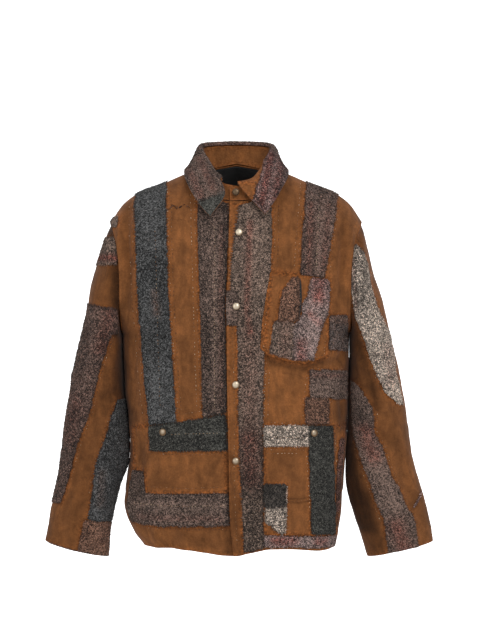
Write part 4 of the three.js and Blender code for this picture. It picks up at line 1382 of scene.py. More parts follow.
# Lines of painted shade on the brown: in creases, beside seams and under edges that lie over it: line,
# width, amount.
SHADED_LINES = {
    "sleeve_right": [
        ([(-241, -90), (-226, -150), (-222, -230), (-220, -300)], 12, 0.4),
        ([(-215, -330), (-214, -420)], 12, 0.4),
    ],
    "sleeve_left": [
        ([(241, -90), (226, -150), (222, -230), (220, -300)], 9, 0.25),
        ([(212, -290), (232, -330), (252, -390), (262, -440)], 9, 0.5),
        ([(214, -330), (226, -400), (230, -440)], 12, 0.35),
        ([(240, -610), (252, -660), (262, -700)], 18, 0.5),
        ([(212, -440), (214, -530), (224, -600), (236, -660)], 14, 0.6),
    ],
    "front_right": [
        ([(-203, -74), (-206, -130), (-201, -190), (-206, -250)], 9, 0.2),
        ([(-202, -300), (-206, -380), (-200, -470)], 10, 0.3), ([(-12, -450), (-12, -700)], 8, 0.5),
        ([(-196, -652), (-140, -657), (-20, -656)], 4, 0.3),
    ],
    "front_left": [
        ([(196, -92), (199, -160), (194, -230)], 8, 0.2), ([(200, -335), (202, -365)], 10, 0.3),
        ([(50, -342), (62, -350), (88, -358), (125, -363), (164, -350)], 6, 0.5),
        ([(192, -430), (198, -466)], 14, 0.25), ([(92, -609), (114, -611), (137, -609)], 1.6, 0.5),
        ([(92, -603), (114, -604.5), (137, -602)], 1.6, 0.4),
        ([(-12, -700), (-4, -640), (-8, -560)], 6, 0.22), ([(8, -700), (2, -650), (4, -590)], 4, 0.3),
    ],
}

STITCHES_LOST = 0.06  # share of the running stitches that have worn away
STITCH_DRIFT = 0.9  # how far a stitch is off its place along the line
STITCH_SWAY = 0.45  # and off the line
STITCH_SHARE = (0.42, 0.66)  # how much of its spacing a stitch covers
# Running stitches: line, layers underneath, shade from dark to pale, and spacing.
STITCHES = {
    "front_right": [
        ([(-129, -26), (-121, -238), (-112, -381), (-107, -448)], 0, 0.55, 6.4),
        ([(-122, -30), (-115, -238), (-106, -381), (-101, -446)], 0, 0.35, 7.0),
        ([(-78, -30), (-72, -238), (-66, -440)], 0, 0.5, 6.4),
        ([(-85, -40), (-79, -238), (-73, -438)], 0, 0.7, 7.2),
        ([(-101, -448), (-64, -442)], 0, 0.45, 6.0),
        ([(-195, -40), (-186, -238), (-175, -382), (-166, -460)], 0, 0.35, 6.6),
        ([(-201, -60), (-193, -238), (-182, -382), (-173, -462)], 0, 0.5, 7.0),
        ([(-40, -100), (-40, -300), (-40, -442)], 1, 0.8, 6.0),
        ([(-150, -100), (-146, -238), (-140, -440)], 1, 0.4, 8.0),
        ([(-160, -522), (-90, -522), (-24, -520)], 1, 0.3, 5.6),
        ([(-165, -583), (-90, -584), (-24, -581)], 1, 0.35, 5.8),
        ([(-120, -485), (-26, -481)], 2, 0.85, 6.4),
        ([(-192, -616), (-100, -617), (-20, -615)], 1, 0.75, 6.4),
        ([(-196, -659), (-100, -661), (-20, -659)], 0, 0.3, 6.0),
        ([(-190, -481), (-188, -550)], 1, 0.45, 6.6),
    ],
    "front_left": [
        ([(-9, -80), (-15, -190), (-15, -240)], 1, 0.4, 6.4),
        ([(-8, -290), (-4, -400), (-4, -560), (2, -690)], 1, 0.35, 6.4),
        ([(70, -66), (71, -131), (66, -184)], 0, 0.45, 6.4),
        ([(78, -60), (78, -131), (74, -182)], 0, 0.3, 7.0),
        ([(128, -16), (117, -120), (113, -184)], 0, 0.5, 6.4),
        ([(121, -10), (110, -120), (106, -182)], 0, 0.6, 7.0),
        ([(197, -40), (181, -119), (172, -192)], 0, 0.5, 6.4), ([(153, -60), (146, -188)], 1, 0.85, 6.0),
        ([(67, -192), (53, -276), (49, -322), (62, -334), (90, -343), (125, -349)], 2, 0.3, 5.6),
        ([(128, -349), (160, -339), (163, -300)], 2, 0.5, 5.6),
        ([(55, -352), (52, -400), (51, -462)], 0, 0.75, 6.4),
        ([(62, -356), (59, -400), (58, -462)], 0, 0.5, 6.4),
        ([(131, -372), (124, -418), (122, -462)], 0, 0.5, 6.4), ([(62, -463), (122, -465)], 0, 0.35, 6.4),
        ([(136, -364), (200, -366)], 0, 0.4, 6.4), ([(173, -424), (173, -462)], 0, 0.4, 6.4),
        ([(54, -512), (128, -514)], 1, 0.4, 6.0), ([(54, -519), (128, -520)], 1, 0.6, 6.6),
        ([(129, -524), (134, -600), (136, -664)], 1, 0.7, 6.6), ([(94, -582), (94, -664)], 1, 0.5, 6.4),
        ([(182, -482), (186, -560), (189, -660)], 1, 0.6, 6.6), ([(96, -608), (134, -608)], 1, 0.1, 3.6),
        ([(58, -489), (124, -491)], 2, 0.3, 6.0),
    ],
    "sleeve_left": [
        ([(246, -150), (258, -213), (271, -260), (296, -306), (304, -364)], 0, 0.4, 6.6),
        ([(206, -170), (217, -262), (233, -308), (252, -364), (270, -408)], 0, 0.35, 6.6),
        ([(262, -440), (263, -484), (278, -510), (286, -540), (296, -566), (310, -590)], 0, 0.4, 6.6),
        ([(218, -500), (231, -548), (246, -584), (258, -622), (272, -656)], 0, 0.35, 6.6),
    ],
    "sleeve_right": [
        ([(-228, -304), (-249, -366), (-268, -446), (-294, -516), (-310, -578)], 0, 0.4, 6.6),
        ([(-229, -430), (-243, -474), (-255, -512), (-268, -548), (-276, -600)], 0, 0.35, 6.6),
        ([(-226, -118), (-284, -118)], 0, 0.5, 6.6), ([(-224, -174), (-286, -174)], 0, 0.5, 6.6),
    ],
}


OUTLINE_STEP = 4.5  # spacing of the points along a torn edge


def rough_outline(outline, amount, seed):
    """An outline as it is torn or cut by hand: wavy by a small amount, and its corners kept."""
    made = []
    points = np.array([*outline, outline[0]], float)
    for a, b in zip(points[:-1], points[1:]):
        size = np.linalg.norm(b - a)
        count = max(1, round(size / OUTLINE_STEP))
        away = np.array([b[1] - a[1], a[0] - b[0]]) / max(size, 1e-6)
        for share in np.arange(count) / count:
            spot = blend(a, b, share)
            calm = 1 if 0 < share else 0
            wave = float(waves(*spot, seed, 17)) + 0.5 * float(waves(*spot, seed + 1, 8))
            made.append(tuple(spot + away * wave * amount * calm))
    return made


def streaked(kind, x, z, streaks):
    """How much of one kind of streak there is at each place."""
    total = np.zeros(np.shape(x))
    for what, line, width, amount in streaks:
        if what == kind:
            far, _ = line_distance(x, z, line)
            total += amount * bump_of(far, width)
    return total


def dye_and_shade(item, points, piece, shade):
    """Gives a tweed piece its own shade at each point, how much it is dyed, and how pale it is: bleached
    lighter, darker, and in some streaks painted shadow.
    """
    x, z = points[:, 0], points[:, 2]
    streaks = piece.get("streaks", [])
    give(item, "accent", np.clip(streaked("accent", x, z, streaks) + piece.get("dyed", 0), 0, 1))
    give(item, "pale", streaked("pale", x, z, streaks) + piece.get("pale", 0))
    give(item, "shade", shade)


# ---- Threads ----

SPINDLE = [(0, 1, 2), (0, 2, 3), (0, 3, 1), (4, 2, 1), (4, 3, 2), (4, 1, 3)]
SPINDLE_POINTS = 5
FRONT_SIDE = (-200, 0)  # depths y of what is seen from the front


def spindles(name, start, middle, end, width, rise, material):
    """Many short threads as one mesh: each runs from its start through a raised middle to its end."""
    along_it = end - start
    along_it /= np.maximum(np.linalg.norm(along_it, axis=1, keepdims=True), 1e-9)
    aside = np.cross(along_it, rise)
    aside /= np.maximum(np.linalg.norm(aside, axis=1, keepdims=True), 1e-9)
    up = np.cross(aside, along_it)
    half = width[:, None] / 2
    ring = [middle + aside * half, middle + up * half * 1.2, middle - aside * half]
    points = np.stack([start, *ring, end], axis=1).reshape(-1, 3)
    each = SPINDLE_POINTS * np.arange(len(start))[:, None, None]
    faces = (np.array(SPINDLE)[None] + each).reshape(-1, 3)
    return new_object(name, points, [faces], material)


def frays(name, cut, outer, settings, piece, material, seed):
    """Short loops and loose ends all over a tweed piece, and longer ones past its edges."""
    made = np.random.default_rng(seed)
    sheet = cut.sheet
    count = int(cut.flat_area * settings.loops)
    cell = cut.cells[made.integers(0, len(cut.cells), count)]
    row = cut.row[cell[:, 0]] + made.uniform(0, 1, count)
    column = cut.column[cell[:, 0]] + made.uniform(0, 1, count)
    turn = made.uniform(0, 2 * math.pi, count)
    half = made.uniform(1.5, 3.2, count) / FINE_STEP
    dr, dc = np.sin(turn) * half, np.cos(turn) * half
    loose = made.uniform(0, 1, count) < settings.loose
    low = outer - 0.15
    lift = made.uniform(0.3, 1.1, count)
    tip = np.where(loose, made.uniform(1.2, settings.fray, count), 0.0)
    first = [sheet.at(row - dr, column - dc, np.full(count, low))]
    curl = made.uniform(-0.5, 0.5, count)
    second = [sheet.at(row + dc * curl, column - dr * curl, outer + lift)]
    third = [sheet.at(row + dr, column + dc, low + tip)]
    rise = [sheet.normal(row, column)]
    width = [made.uniform(0.7, 1.3, count) * np.where(loose, 0.7, 1.0)]
    shade = [made.beta(1.1, 1.3, count)]
    edge = edge_places(cut, made, settings)
    if edge is not None:
        row, column, dr, dc = edge
        count = len(row)
        reach = made.uniform(1.0, settings.fray, count) / FINE_STEP
        side = made.normal(0, 0.7, count)
        out_row, out_column = dr + side * dc, dc - side * dr
        size = np.maximum(np.hypot(out_row, out_column), 1e-6)
        out_row, out_column = out_row / size, out_column / size
        first.append(sheet.at(row - dr * 0.5, column - dc * 0.5, np.full(count, outer - 0.3)))
        lift = made.uniform(-0.6, 0.7, count)
        half_way = sheet.at(row + out_row * reach * 0.5, column + out_column * reach * 0.5, outer + lift)
        second.append(half_way)
        off = outer - 0.6 + lift + made.uniform(-0.5, 1.2, count)
        third.append(sheet.at(row + out_row * reach, column + out_column * reach, off))
        rise.append(sheet.normal(row, column))
        width.append(made.uniform(0.5, 1.0, count))
        shade.append(made.beta(1.0, 1.1, count))
    start, middle, end = (np.concatenate(part) for part in (first, second, third))
    item = spindles(name, start, middle, end, np.concatenate(width), np.concatenate(rise), material)
    dye_and_shade_threads(item, middle, piece, np.concatenate(shade))
    return item


def dye_and_shade_threads(item, middle, piece, shade):
    """Marks joined threads as their piece's cloth is marked, with its dye, paleness and painted shadow,
    each with one shade all along.
    """
    dye_and_shade(item, np.repeat(middle, SPINDLE_POINTS, axis=0), piece, np.repeat(shade, SPINDLE_POINTS))


def edge_places(cut, made, settings):
    """Places along a piece's rim, with the way out of the piece at each, in the sheet's own steps."""
    a, b = cut.rim[:, 0], cut.rim[:, 1]
    sheet = cut.sheet
    dr, dc = cut.row[b] - cut.row[a], cut.column[b] - cut.column[a]
    if sheet.wrap:
        dc = np.where(dc > sheet.columns / 2, dc - sheet.columns, dc)
        dc = np.where(dc < -sheet.columns / 2, dc + sheet.columns, dc)
    size = np.hypot(dr, dc)
    good = size > 0.05
    if not good.any():
        return None
    a, dr, dc, size = a[good], dr[good], dc[good], size[good]
    number = np.maximum(1, np.round(size * FINE_STEP * settings.edge)).astype(int)
    index = np.repeat(np.arange(len(a)), number)
    share = made.uniform(0, 1, len(index))
    row = cut.row[a][index] + dr[index] * share
    column = cut.column[a][index] + dc[index] * share
    return row, column, (-dc / size)[index], (dr / size)[index]


def measured_line(line):
    """A line as an array of places, and how far along it each of them is."""
    line = np.array(line, float)
    return line, np.concatenate([[0], np.cumsum(np.linalg.norm(np.diff(line, axis=0), axis=1))])


def running_stitch(sheet, line, layer, shade, pitch, made):
    """One row of running stitches: their starts, middles and ends, the way out, and their shades."""
    line, lengths = measured_line(line)
    at = np.arange(1.0, lengths[-1] - pitch * 0.6, pitch)
    at = at + made.uniform(-STITCH_DRIFT, STITCH_DRIFT, len(at))
    at = at[made.uniform(0, 1, len(at)) > STITCHES_LOST]
    size = pitch * made.uniform(*STITCH_SHARE, len(at))
    sway = made.uniform(-STITCH_SWAY, STITCH_SWAY, (2, len(at)))
    off = layer * LAYER
    found = []
    for share, lift in ((0.0, -0.2), (0.5, 0.55), (1.0, -0.2)):
        x = np.interp(at + size * share, lengths, line[:, 0]) + sway[0]
        z = np.interp(at + size * share, lengths, line[:, 1]) + sway[1]
        row, column = sheet.find(x, z, *FRONT_SIDE)
        found.append(sheet.at(row, column, np.full(len(at), off + lift)))
    rise = sheet.normal(row, column)
    tone = np.clip(shade + made.normal(0, 0.22, len(at)), 0, 1)
    return found, rise, tone


# ---- What a user can change ----


class JacketSettings(bpy.types.PropertyGroup):
    brown: bpy.props.FloatVectorProperty(
        name="Brown cloth", description="Colour of the suede-faced cloth", subtype="COLOR",
        size=3, min=0, max=1, default=BROWN,
    )
    lining: bpy.props.FloatVectorProperty(
        name="Lining", description="Colour of the lining", subtype="COLOR",
        size=3, min=0, max=1, default=(0.0045, 0.0044, 0.0044),
    )
    brass: bpy.props.FloatVectorProperty(
        name="Snaps", description="Colour of the press snaps", subtype="COLOR",
        size=3, min=0, max=1, default=(0.82, 0.70, 0.53),
    )
    bronze: bpy.props.FloatVectorProperty(
        name="Collar snap", description="Colour of the collar's snap", subtype="COLOR",
        size=3, min=0, max=1, default=(0.16, 0.105, 0.06),
    )
    fleck: bpy.props.FloatProperty(
        name="Flecks", description="How strongly pale threads show in the tweeds",
        min=0, max=1, default=0.7,
    )
    loops: bpy.props.FloatProperty(
        name="Loops", description="Loops of thread on each square millimetre of tweed",
        min=0, max=0.4, default=0.1,
    )
    loose: bpy.props.FloatProperty(
        name="Loose ends", description="Share of the threads that stand away from the cloth",
        min=0, max=1, default=0.14,
    )
    edge: bpy.props.FloatProperty(
        name="Frayed edge", description="Threads on each millimetre of a tweed's edge",
        min=0, max=4, default=2.4,
    )
    fray: bpy.props.FloatProperty(
        name="Fray length", description="Longest loose end, in millimetres",
        min=1, max=8, default=4.6,
    )


def jacket_settings():
    return bpy.context.scene.jacket


HELD = {}  # the sheets and materials that the operators share


def sheet_named(name):
    """A sheet of the jacket, worked out once."""
    if name not in HELD:
        makers = {
            "front_left": lambda: front_sheet(1), "front_right": lambda: front_sheet(-1),
            "back": back_sheet, "sleeve_left": lambda: sleeve_sheet(1),
            "sleeve_right": lambda: sleeve_sheet(-1), "collar_stand": stand_sheet,
            "collar_fall": fall_sheet, "back_lining": lambda: lining_sheet(sheet_named("back")),
        }
        HELD[name] = makers[name]()
    return HELD[name]


def material_for(slot, threads=False):
    key = (slot, threads)
    if key not in HELD:
        settings = jacket_settings()
        if slot == "brown_cloth":
            HELD[key] = brown_suede(settings)
        elif slot == "black_lining":
            HELD[key] = lining_cloth(settings)
        elif slot == "thread":
            HELD[key] = thread_cloth()
        elif slot == "snap_brass":
            HELD[key] = snap_metal("antique brass", settings.brass)
        elif slot == "snap_bronze":
            HELD[key] = snap_metal("dark bronze", settings.bronze)
        else:
            HELD[key] = tweed(slot, settings, threads)
    return HELD[key]


SEAM_WIDTH = 6.5  # the brown is puckered this far from a piece's edge
EDGE_WIDTH = 6.0  # and from a hem
DARKEST_PAINTED_SHADE = 0.75  # most that painted shade darkens the brown


def outlines_on(sheet_name):
    return [piece["outline"] for name, pieces in ALL_PIECES if name == sheet_name for piece in pieces]


def seam_marks(sheet_name, points):
    """How near each point lies to the edge of a piece sewn on the same sheet."""
    marks = np.zeros(len(points))
    for outline in outlines_on(sheet_name):
        far, _ = line_distance(points[:, 0], points[:, 2], [*outline, outline[0]])
        marks = np.maximum(marks, bump_of(far, SEAM_WIDTH))
    return marks


def edge_marks(cut):
    """How near each point lies to the sheet's own hem, edge or cuff."""
    sheet = cut.sheet
    near = np.minimum(cut.at_row, sheet.rows - 1 - cut.at_row)
    if not sheet.wrap:
        near = np.minimum(near, np.minimum(cut.at_column, sheet.columns - 1 - cut.at_column))
    return bump_of(near * FINE_STEP, EDGE_WIDTH)


def painted_shade_marks(sheet_name, points):
    """How much painted shade darkens the brown: on the sleeves, more so beside the body at the armholes,
    and along each shaded line.
    """
    x, z = points[:, 0], points[:, 2]
    total = np.zeros(len(points))
    if sheet_name in SLEEVE_PAINTED_SHADE:
        side = 1 if sheet_name == "sleeve_left" else -1
        beside = side * x - side_width(side, np.minimum(z, ARMPIT))
        total += SLEEVE_PAINTED_SHADE[sheet_name] * (0.55 + 0.45 * (1 - smooth(beside / 50)))
    for line, width, amount in SHADED_LINES.get(sheet_name, ()):
        far, _ = line_distance(x, z, line)
        total += amount * bump_of(far, width)
    return np.clip(total, 0, DARKEST_PAINTED_SHADE)


def brown_marks(item, cut, sheet_name):
    """Where the brown is puckered, where it takes painted shade and where it takes a painted highlight on
    its raised edges, for its material to read.
    """
    points = cut.sheet.at(cut.at_row, cut.at_column)
    front = points[:, 1] < 20
    seam = seam_marks(sheet_name, points) * front
    edge = edge_marks(cut)
    give(item, "seam", np.tile(np.maximum(seam, 0.75 * edge), 2))
    # Painted shade for the brown: on the sleeves and along the shaded lines.
    give(item, "deep", np.tile(painted_shade_marks(sheet_name, points), 2))
    # Painted highlight along the hems and the raised edges beside sewn pieces.
    lit_edges = np.maximum(bump_of(edge - 0.9, 0.25), bump_of(seam - 0.35, 0.2) * front * 0.6)
    give(item, "wear", np.tile(lit_edges, 2))


def placed(item, node):
    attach(item, "root")
    if node:
        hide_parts(node)
    return item


def build_panel(name, thick):
    """One of the jacket's large brown sheets."""
    cut = Cut(sheet_named(name), step=PANEL_STEPS)
    item = cut.wall(name + "_cloth", -thick, 0.0, material_for("brown_cloth"))
    brown_marks(item, cut, name)
    shade_smooth(item)
    placed(item, name)
    return item


def build_lining():
    """The lining inside the back, which shows inside the neck."""
    cut = Cut(sheet_named("back_lining"), step=LINING_STEPS)
    face = -PANEL - LINING_GAP
    item = cut.wall("back_lining_cloth", face - LINING, face, material_for("black_lining"))
    shade_smooth(item)
    placed(item, "back_lining")
    return item


def stitched_rows(name, sheet_name):
    """All the running stitches on one sheet."""
    made = np.random.default_rng(sum(map(ord, sheet_name)))
    found, rises, tones = [[], [], []], [], []
    for line, layer, shade, pitch in STITCHES[sheet_name]:
        parts, rise, tone = running_stitch(sheet_named(sheet_name), line, layer, shade, pitch, made)
        for held, part in zip(found, parts):
            held.append(part)
        rises.append(rise)
        tones.append(tone)
    start, middle, end = (np.concatenate(part) for part in found)
    width = made.uniform(1.1, 1.6, len(start))
    item = spindles(name, start, middle, end, width, np.concatenate(rises), material_for("thread"))
    give(item, "shade", np.repeat(np.concatenate(tones), SPINDLE_POINTS))
    return placed(item, None)


HEMMED, TORN = 0.5, 1.9  # how far a brown piece's edge wanders, and a tweed one's
# A piece's ripples: their length and height, and how rough its face is besides.
BROWN_RIPPLE = (30, 0.25, 0)
TWEED_RIPPLE = (11, 0.35, 0.14)


def build_piece(sheet_name, piece, seed):
    """One patch, pocket or band, with its frayed threads where it is tweed."""
    sheet = sheet_named(sheet_name)
    settings = jacket_settings()
    slot = piece["slot"]
    brown = slot == "brown_cloth"
    outline = rough_outline(piece["outline"], HEMMED if brown else TORN, seed)
    cut = Cut(sheet, 1, outline, piece.get("limits", FRONT_LIMITS))
    base = GAP + piece["layer"] * LAYER
    made = np.random.default_rng(seed)

    def relief(row, column):
        length, height, rough = BROWN_RIPPLE if brown else TWEED_RIPPLE
        ripple = waves(column * FINE_STEP, row * FINE_STEP, seed, length)
        return height * ripple + made.uniform(-rough, rough, len(row))

    item = cut.wall(piece["name"] + "_cloth", base, base + PATCH, material_for(slot), relief)
    if brown:
        brown_marks(item, cut, sheet_name)
    else:
        points = sheet.at(cut.at_row, cut.at_column)
        dye_and_shade(item, np.tile(points, (2, 1)), piece, made.uniform(0, 1, 2 * len(points)))
        loose = frays(
            piece["name"] + "_threads", cut, base + PATCH, settings, piece,
            material_for(slot, True), seed + 500,
        )
        placed(loose, None)
    shade_smooth(item)
    placed(item, piece["name"])
    return item


def cap_direction(node):
    """A snap's place and the way its cap faces, from its own solid."""
    low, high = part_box(node)
    centre = (low + high) / 2
    if node == "snap_collar":
        return centre, Vector((0, -1, 0))
    x, z = np.float64(centre.x / MM), np.float64(centre.z / MM)
    h = 4.0
    slope_x = (body_depth(FRONT_DEPTH, x + h, z) - body_depth(FRONT_DEPTH, x - h, z)) / (2 * h)
    slope_z = (body_depth(FRONT_DEPTH, x, z + h) - body_depth(FRONT_DEPTH, x, z - h)) / (2 * h)
    return centre, Vector((-slope_x, -1, -slope_z)).normalized()


SNAP_RIM = 0.0067  # radius in metres
SNAP_BAND = 0.0009  # half thickness of the rolled rim
SNAP_SINK = 0.0006  # how far its middle lies below the cap's place
SNAP_DOME = 0.36  # height of the cap for its radius
# How much darker and browner each snap's metal is made; the others are bright.
SNAP_DARKER = {"snap_3": 0.1, "snap_4": 0.45, "snap_pocket_right": 0.62, "snap_pocket_left": 0.6}


def build_snap(node, slot):
    """A press snap: a thin rolled rim with a low domed cap."""
    centre, facing = cap_direction(node)
    bpy.ops.object.select_all(action="DESELECT")
    bpy.ops.mesh.primitive_torus_add(
        major_segments=40, minor_segments=10, major_radius=SNAP_RIM - SNAP_BAND, minor_radius=SNAP_BAND,
        location=(0, 0, -SNAP_SINK),
    )
    rim = bpy.context.object
    bpy.ops.mesh.primitive_uv_sphere_add(
        segments=40, ring_count=16, radius=SNAP_RIM - 0.0008, location=(0, 0, -SNAP_SINK)
    )
    cap = bpy.context.object
    cap.scale = (1, 1, SNAP_DOME)
    bpy.ops.object.select_all(action="DESELECT")
    rim.select_set(True)
    cap.select_set(True)
    bpy.context.view_layer.objects.active = cap
    bpy.ops.object.join()
    cap.name = node + "_cap"
    cap.data.name = node + "_cap"
    cap.data.materials.clear()
    cap.data.materials.append(material_for(slot))
    cap.rotation_mode = "QUATERNION"
    cap.rotation_quaternion = facing.to_track_quat("Z", "Y")
    cap.location = centre
    bpy.ops.object.transform_apply(location=True, rotation=True, scale=True)
    bpy.ops.object.shade_smooth_by_angle(angle=math.radians(40))
    cap.select_set(False)
    # The rim number is painted shade: darker towards the rim, the bottom and the wearer's left, with each
    # snap's own darkening added.
    out = (np.array([v.co[:] for v in cap.data.vertices]) - np.array(centre)) / SNAP_RIM
    away = np.hypot(out[:, 0], out[:, 2])
    shaded = 1.1 * away**2.5 - 0.4 * (out[:, 2] * 0.8 - out[:, 0] * 0.4) - 0.12
    give(cap, "rim", np.clip(shaded + SNAP_DARKER.get(node, 0), 0, 1))
    return placed(cap, node)


# ---- Operators ----


def finished(made):
    if not made:
        raise RuntimeError("nothing was built")
    return {"FINISHED"}


class JACKET_OT_panels(bpy.types.Operator):
    """Build the two fronts, the back and its lining"""

    bl_idname = "jacket.panels"
    bl_label = "Fronts and back"

    def execute(self, context):
        names = ("front_left", "front_right", "back")
        made = [build_panel(name, PANEL) for name in names]
        return finished([*made, build_lining()])


class JACKET_OT_sleeves(bpy.types.Operator):
    """Build the two sleeves"""

    bl_idname = "jacket.sleeves"
    bl_label = "Sleeves"

    def execute(self, context):
        return finished([
            build_panel("sleeve_left", PANEL),
            build_panel("sleeve_right", PANEL),
        ])


class JACKET_OT_collar(bpy.types.Operator):
    """Build the collar's stand and the fall that folds over it"""

    bl_idname = "jacket.collar"
    bl_label = "Collar"

    def execute(self, context):
        return finished([
            build_panel("collar_stand", PANEL),
            build_panel("collar_fall", COLLAR),
        ])


class JACKET_OT_pieces(bpy.types.Operator):
    """Sew on the patches, pockets, placket and bands, with their frayed threads"""

    bl_idname = "jacket.pieces"
    bl_label = "Patches and pockets"

    def execute(self, context):
        made = []
        for sheet_name, pieces in ALL_PIECES:
            for piece in pieces:
                made.append(build_piece(sheet_name, piece, 100 + 7 * len(made)))
        return finished(made)


# Fuzzy seams: sheet, line, layers underneath, slot, how far the threads spread, threads, paleness.
FUZZY_SEAMS = [
    ("sleeve_right", [(-352, -696), (-326, -704), (-300, -712)], 0, "mauve_boro", 4.5, 420, 0.2),
    ("sleeve_left", [(350, -598), (342, -612), (333, -626)], 0, "lilac_boro", 3.5, 160, 0.45),
    ("front_left", [(92, -580), (91, -622), (89, -668)], 1, "cream_boro", 2.6, 240, 0.3),
    ("front_left", [(196, -496), (190, -566), (187, -660)], 1, "maroon_boro", 5.0, 620, 0.0),
    ("front_left", [(90, -577), (70, -579), (52, -577)], 1, "black_cloth", 3.0, 120, 0.0),
    (
        "front_right", [(-127, -72), (-118, -62), (-108, -69), (-98, -61), (-86, -66)],
        0, "maroon_boro", 2.4, 60, -0.4,
    ),
]


def fuzzy_seam(number):
    """Loose curled threads scattered along a line of the cloth."""
    sheet_name, line, layer, slot, spread, count, pale = FUZZY_SEAMS[number]
    made = np.random.default_rng(900 + number)
    sheet = sheet_named(sheet_name)
    line, lengths = measured_line(line)
    at = made.uniform(0, lengths[-1], count)
    x = np.interp(at, lengths, line[:, 0]) + made.normal(0, spread / 3, count)
    z = np.interp(at, lengths, line[:, 1]) + made.normal(0, spread / 3, count)
    row, column = sheet.find(x, z, *FRONT_SIDE)
    turn = made.uniform(0, 2 * math.pi, count)
    reach = made.uniform(1.0, 3.0, count) / FINE_STEP
    dr, dc = np.sin(turn) * reach, np.cos(turn) * reach
    off = layer * LAYER + GAP
    start = sheet.at(row - dr * 0.5, column - dc * 0.5, np.full(count, off - 0.2))
    middle = sheet.at(row, column, off + made.uniform(0.5, 1.6, count))
    end = sheet.at(row + dr, column + dc, off + made.uniform(-0.2, 1.2, count))
    name = "fuzzy_seam_" + str(number + 1)
    width = made.uniform(0.6, 1.2, count)
    rise = sheet.normal(row, column)
    item = spindles(name, start, middle, end, width, rise, material_for(slot, True))
    dye_and_shade_threads(item, middle, {"pale": pale, "dyed": 0.2}, made.beta(1.1, 1.2, count))
    return placed(item, None)


# The slit in the chest pocket, as (x, z, half width).
SLIT = [(116.4, -199, 0.8), (117, -210, 1.8), (116.8, -232, 2.6), (115.8, -252, 2.2), (114.4, -272, 0.8)]

SLIT_STEPS = 60
SLIT_RISE = (0.95, 1.2, 0.95)


def lay_slit_shadow():
    """Painted shadow in the chest pocket's slit: a dark strip of the lining's cloth, a little raised along
    its middle.
    """
    sheet = sheet_named("front_left")
    steps = np.linspace(0, len(SLIT) - 1, SLIT_STEPS)
    x, z, half = (np.interp(steps, np.arange(len(SLIT)), part) for part in zip(*SLIT))
    rows = []
    for side, rise in zip((-1, 0, 1), SLIT_RISE):
        row, column = sheet.find(x + side * half, z, *FRONT_SIDE)
        rows.append(sheet.at(row, column, np.full(len(x), 2 * LAYER + rise)))
    count = len(x)
    faces = [
        (k + count, k + 1 + count, k + 1, k) for low in (0, count) for k in range(low, low + count - 1)
    ]
    material = material_for("black_lining")
    item = new_object("chest_pocket_slit_shadow", np.concatenate(rows), [np.array(faces)], material)
    return placed(item, None)


class JACKET_OT_stitches(bpy.types.Operator):
    """Sew the running stitches and the fuzzy seams, and lay the painted shadow in the pocket's slit"""

    bl_idname = "jacket.stitches"
    bl_label = "Running stitches"

    def execute(self, context):
        names = ("front_left", "front_right", "sleeve_left", "sleeve_right")
        made = [stitched_rows("stitches_" + name, name) for name in names]
        made += [fuzzy_seam(number) for number in range(len(FUZZY_SEAMS))]
        return finished([*made, lay_slit_shadow()])


class JACKET_OT_snaps(bpy.types.Operator):
    """Press in the seven snaps"""

    bl_idname = "jacket.snaps"
    bl_label = "Snaps"

    def execute(self, context):
        names = ("snap_1", "snap_2", "snap_3", "snap_4", "snap_pocket_right", "snap_pocket_left")
        made = [build_snap(name, "snap_brass") for name in names]
        return finished([*made, build_snap("snap_collar", "snap_bronze")])


VIEW = (0.00665, -3.38, -0.2745)  # the camera's place
FLOOR_REACH = 12  # the floor goes this far to each side and to the front
ROOM_LIGHT = 0.45
AIM = Vector((0, 0, -0.35))  # where the lights point
# Soft lights: name, place, size, power.
LIGHTS = (
    ("key", (1.4, -2.9, 1.5), 1.8, 50),
    ("fill", (-2.2, -2.6, 0.4), 2.2, 20),
    ("top", (0.0, -0.4, 2.4), 2.0, 12),
)
# The white backdrop's curve up from the floor, as (y, z).
SWEEP = [(2.6, -1.4), (3.6, -1.34), (4.6, -1.1), (5.6, -0.6), (6.4, 0.2), (6.9, 1.5), (7.0, 4.5)]


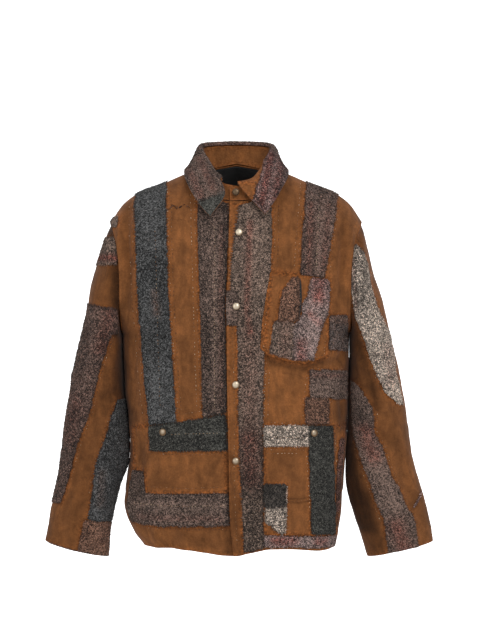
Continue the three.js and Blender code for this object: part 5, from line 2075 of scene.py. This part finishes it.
class JACKET_OT_stage(bpy.types.Operator):
    """Set the pale floor, the soft studio light and the camera"""

    bl_idname = "jacket.stage"
    bl_label = "Studio"

    def execute(self, context):
        scene = bpy.context.scene
        bpy.ops.object.select_all(action="DESELECT")
        rear, level = SWEEP[0]
        bpy.ops.mesh.primitive_plane_add(size=1, location=(0, (rear - FLOOR_REACH) / 2, level))
        floor = bpy.context.object
        floor.scale = (2 * FLOOR_REACH, rear + FLOOR_REACH, 1)
        floor.name = "floor"
        white = Shader("floor white")
        white.set(Base_Color=(0.93, 0.93, 0.93), Roughness=0.9)
        floor.data.materials.append(white.material)
        count = len(SWEEP)
        points = [(side * FLOOR_REACH / MM, y / MM, z / MM) for side in (-1, 1) for y, z in SWEEP]
        faces = np.array([(k, k + count, k + count + 1, k + 1) for k in range(count - 1)])
        glow = Shader("backdrop white")
        glow.set(Base_Color=(1, 1, 1), Emission_Color=(1, 1, 1), Emission_Strength=1.0)
        backdrop = new_object("backdrop", points, [faces], glow.material)
        world = bpy.data.worlds.new("studio")
        world.use_nodes = True
        room = world.node_tree.nodes["Background"].inputs
        room["Color"].default_value = (1, 1, 1, 1)
        room["Strength"].default_value = ROOM_LIGHT
        scene.world = world
        scene.view_settings.view_transform = "Standard"
        made = []
        for name, place, size, power in LIGHTS:
            bpy.ops.object.light_add(type="AREA", location=place)
            light = bpy.context.object
            light.name = name
            light.data.size = size
            light.data.energy = power
            light.rotation_euler = (AIM - Vector(place)).to_track_quat("-Z", "Y").to_euler()
            made.append(light)
        bpy.ops.object.camera_add(location=VIEW, rotation=(math.pi / 2, 0, 0))
        camera = bpy.context.object
        camera.data.lens = 100
        camera.data.sensor_width = 36
        scene.camera = camera
        return finished([floor, backdrop, *made, camera])


OPERATORS = (
    JACKET_OT_panels, JACKET_OT_sleeves, JACKET_OT_collar, JACKET_OT_pieces,
    JACKET_OT_stitches, JACKET_OT_snaps, JACKET_OT_stage,
)


class JACKET_PT_panel(bpy.types.Panel):
    bl_label = "Patched boro jacket"
    bl_space_type = "VIEW_3D"
    bl_region_type = "UI"
    bl_category = "Jacket"

    def draw(self, context):
        settings = jacket_settings()
        for name in settings.__annotations__:
            self.layout.prop(settings, name)
        for operator in OPERATORS:
            self.layout.operator(operator.bl_idname)


CLASSES = (JacketSettings, *OPERATORS, JACKET_PT_panel)


def register():
    for made in CLASSES:
        bpy.utils.register_class(made)
    bpy.types.Scene.jacket = bpy.props.PointerProperty(type=JacketSettings)


def unregister():
    del bpy.types.Scene.jacket
    for made in reversed(CLASSES):
        bpy.utils.unregister_class(made)


def main():
    register()
    bpy.ops.jacket.panels()
    bpy.ops.jacket.sleeves()
    bpy.ops.jacket.collar()
    bpy.ops.jacket.pieces()
    bpy.ops.jacket.stitches()
    bpy.ops.jacket.snaps()
    bpy.ops.jacket.stage()


if __name__ == "__main__":
    main()
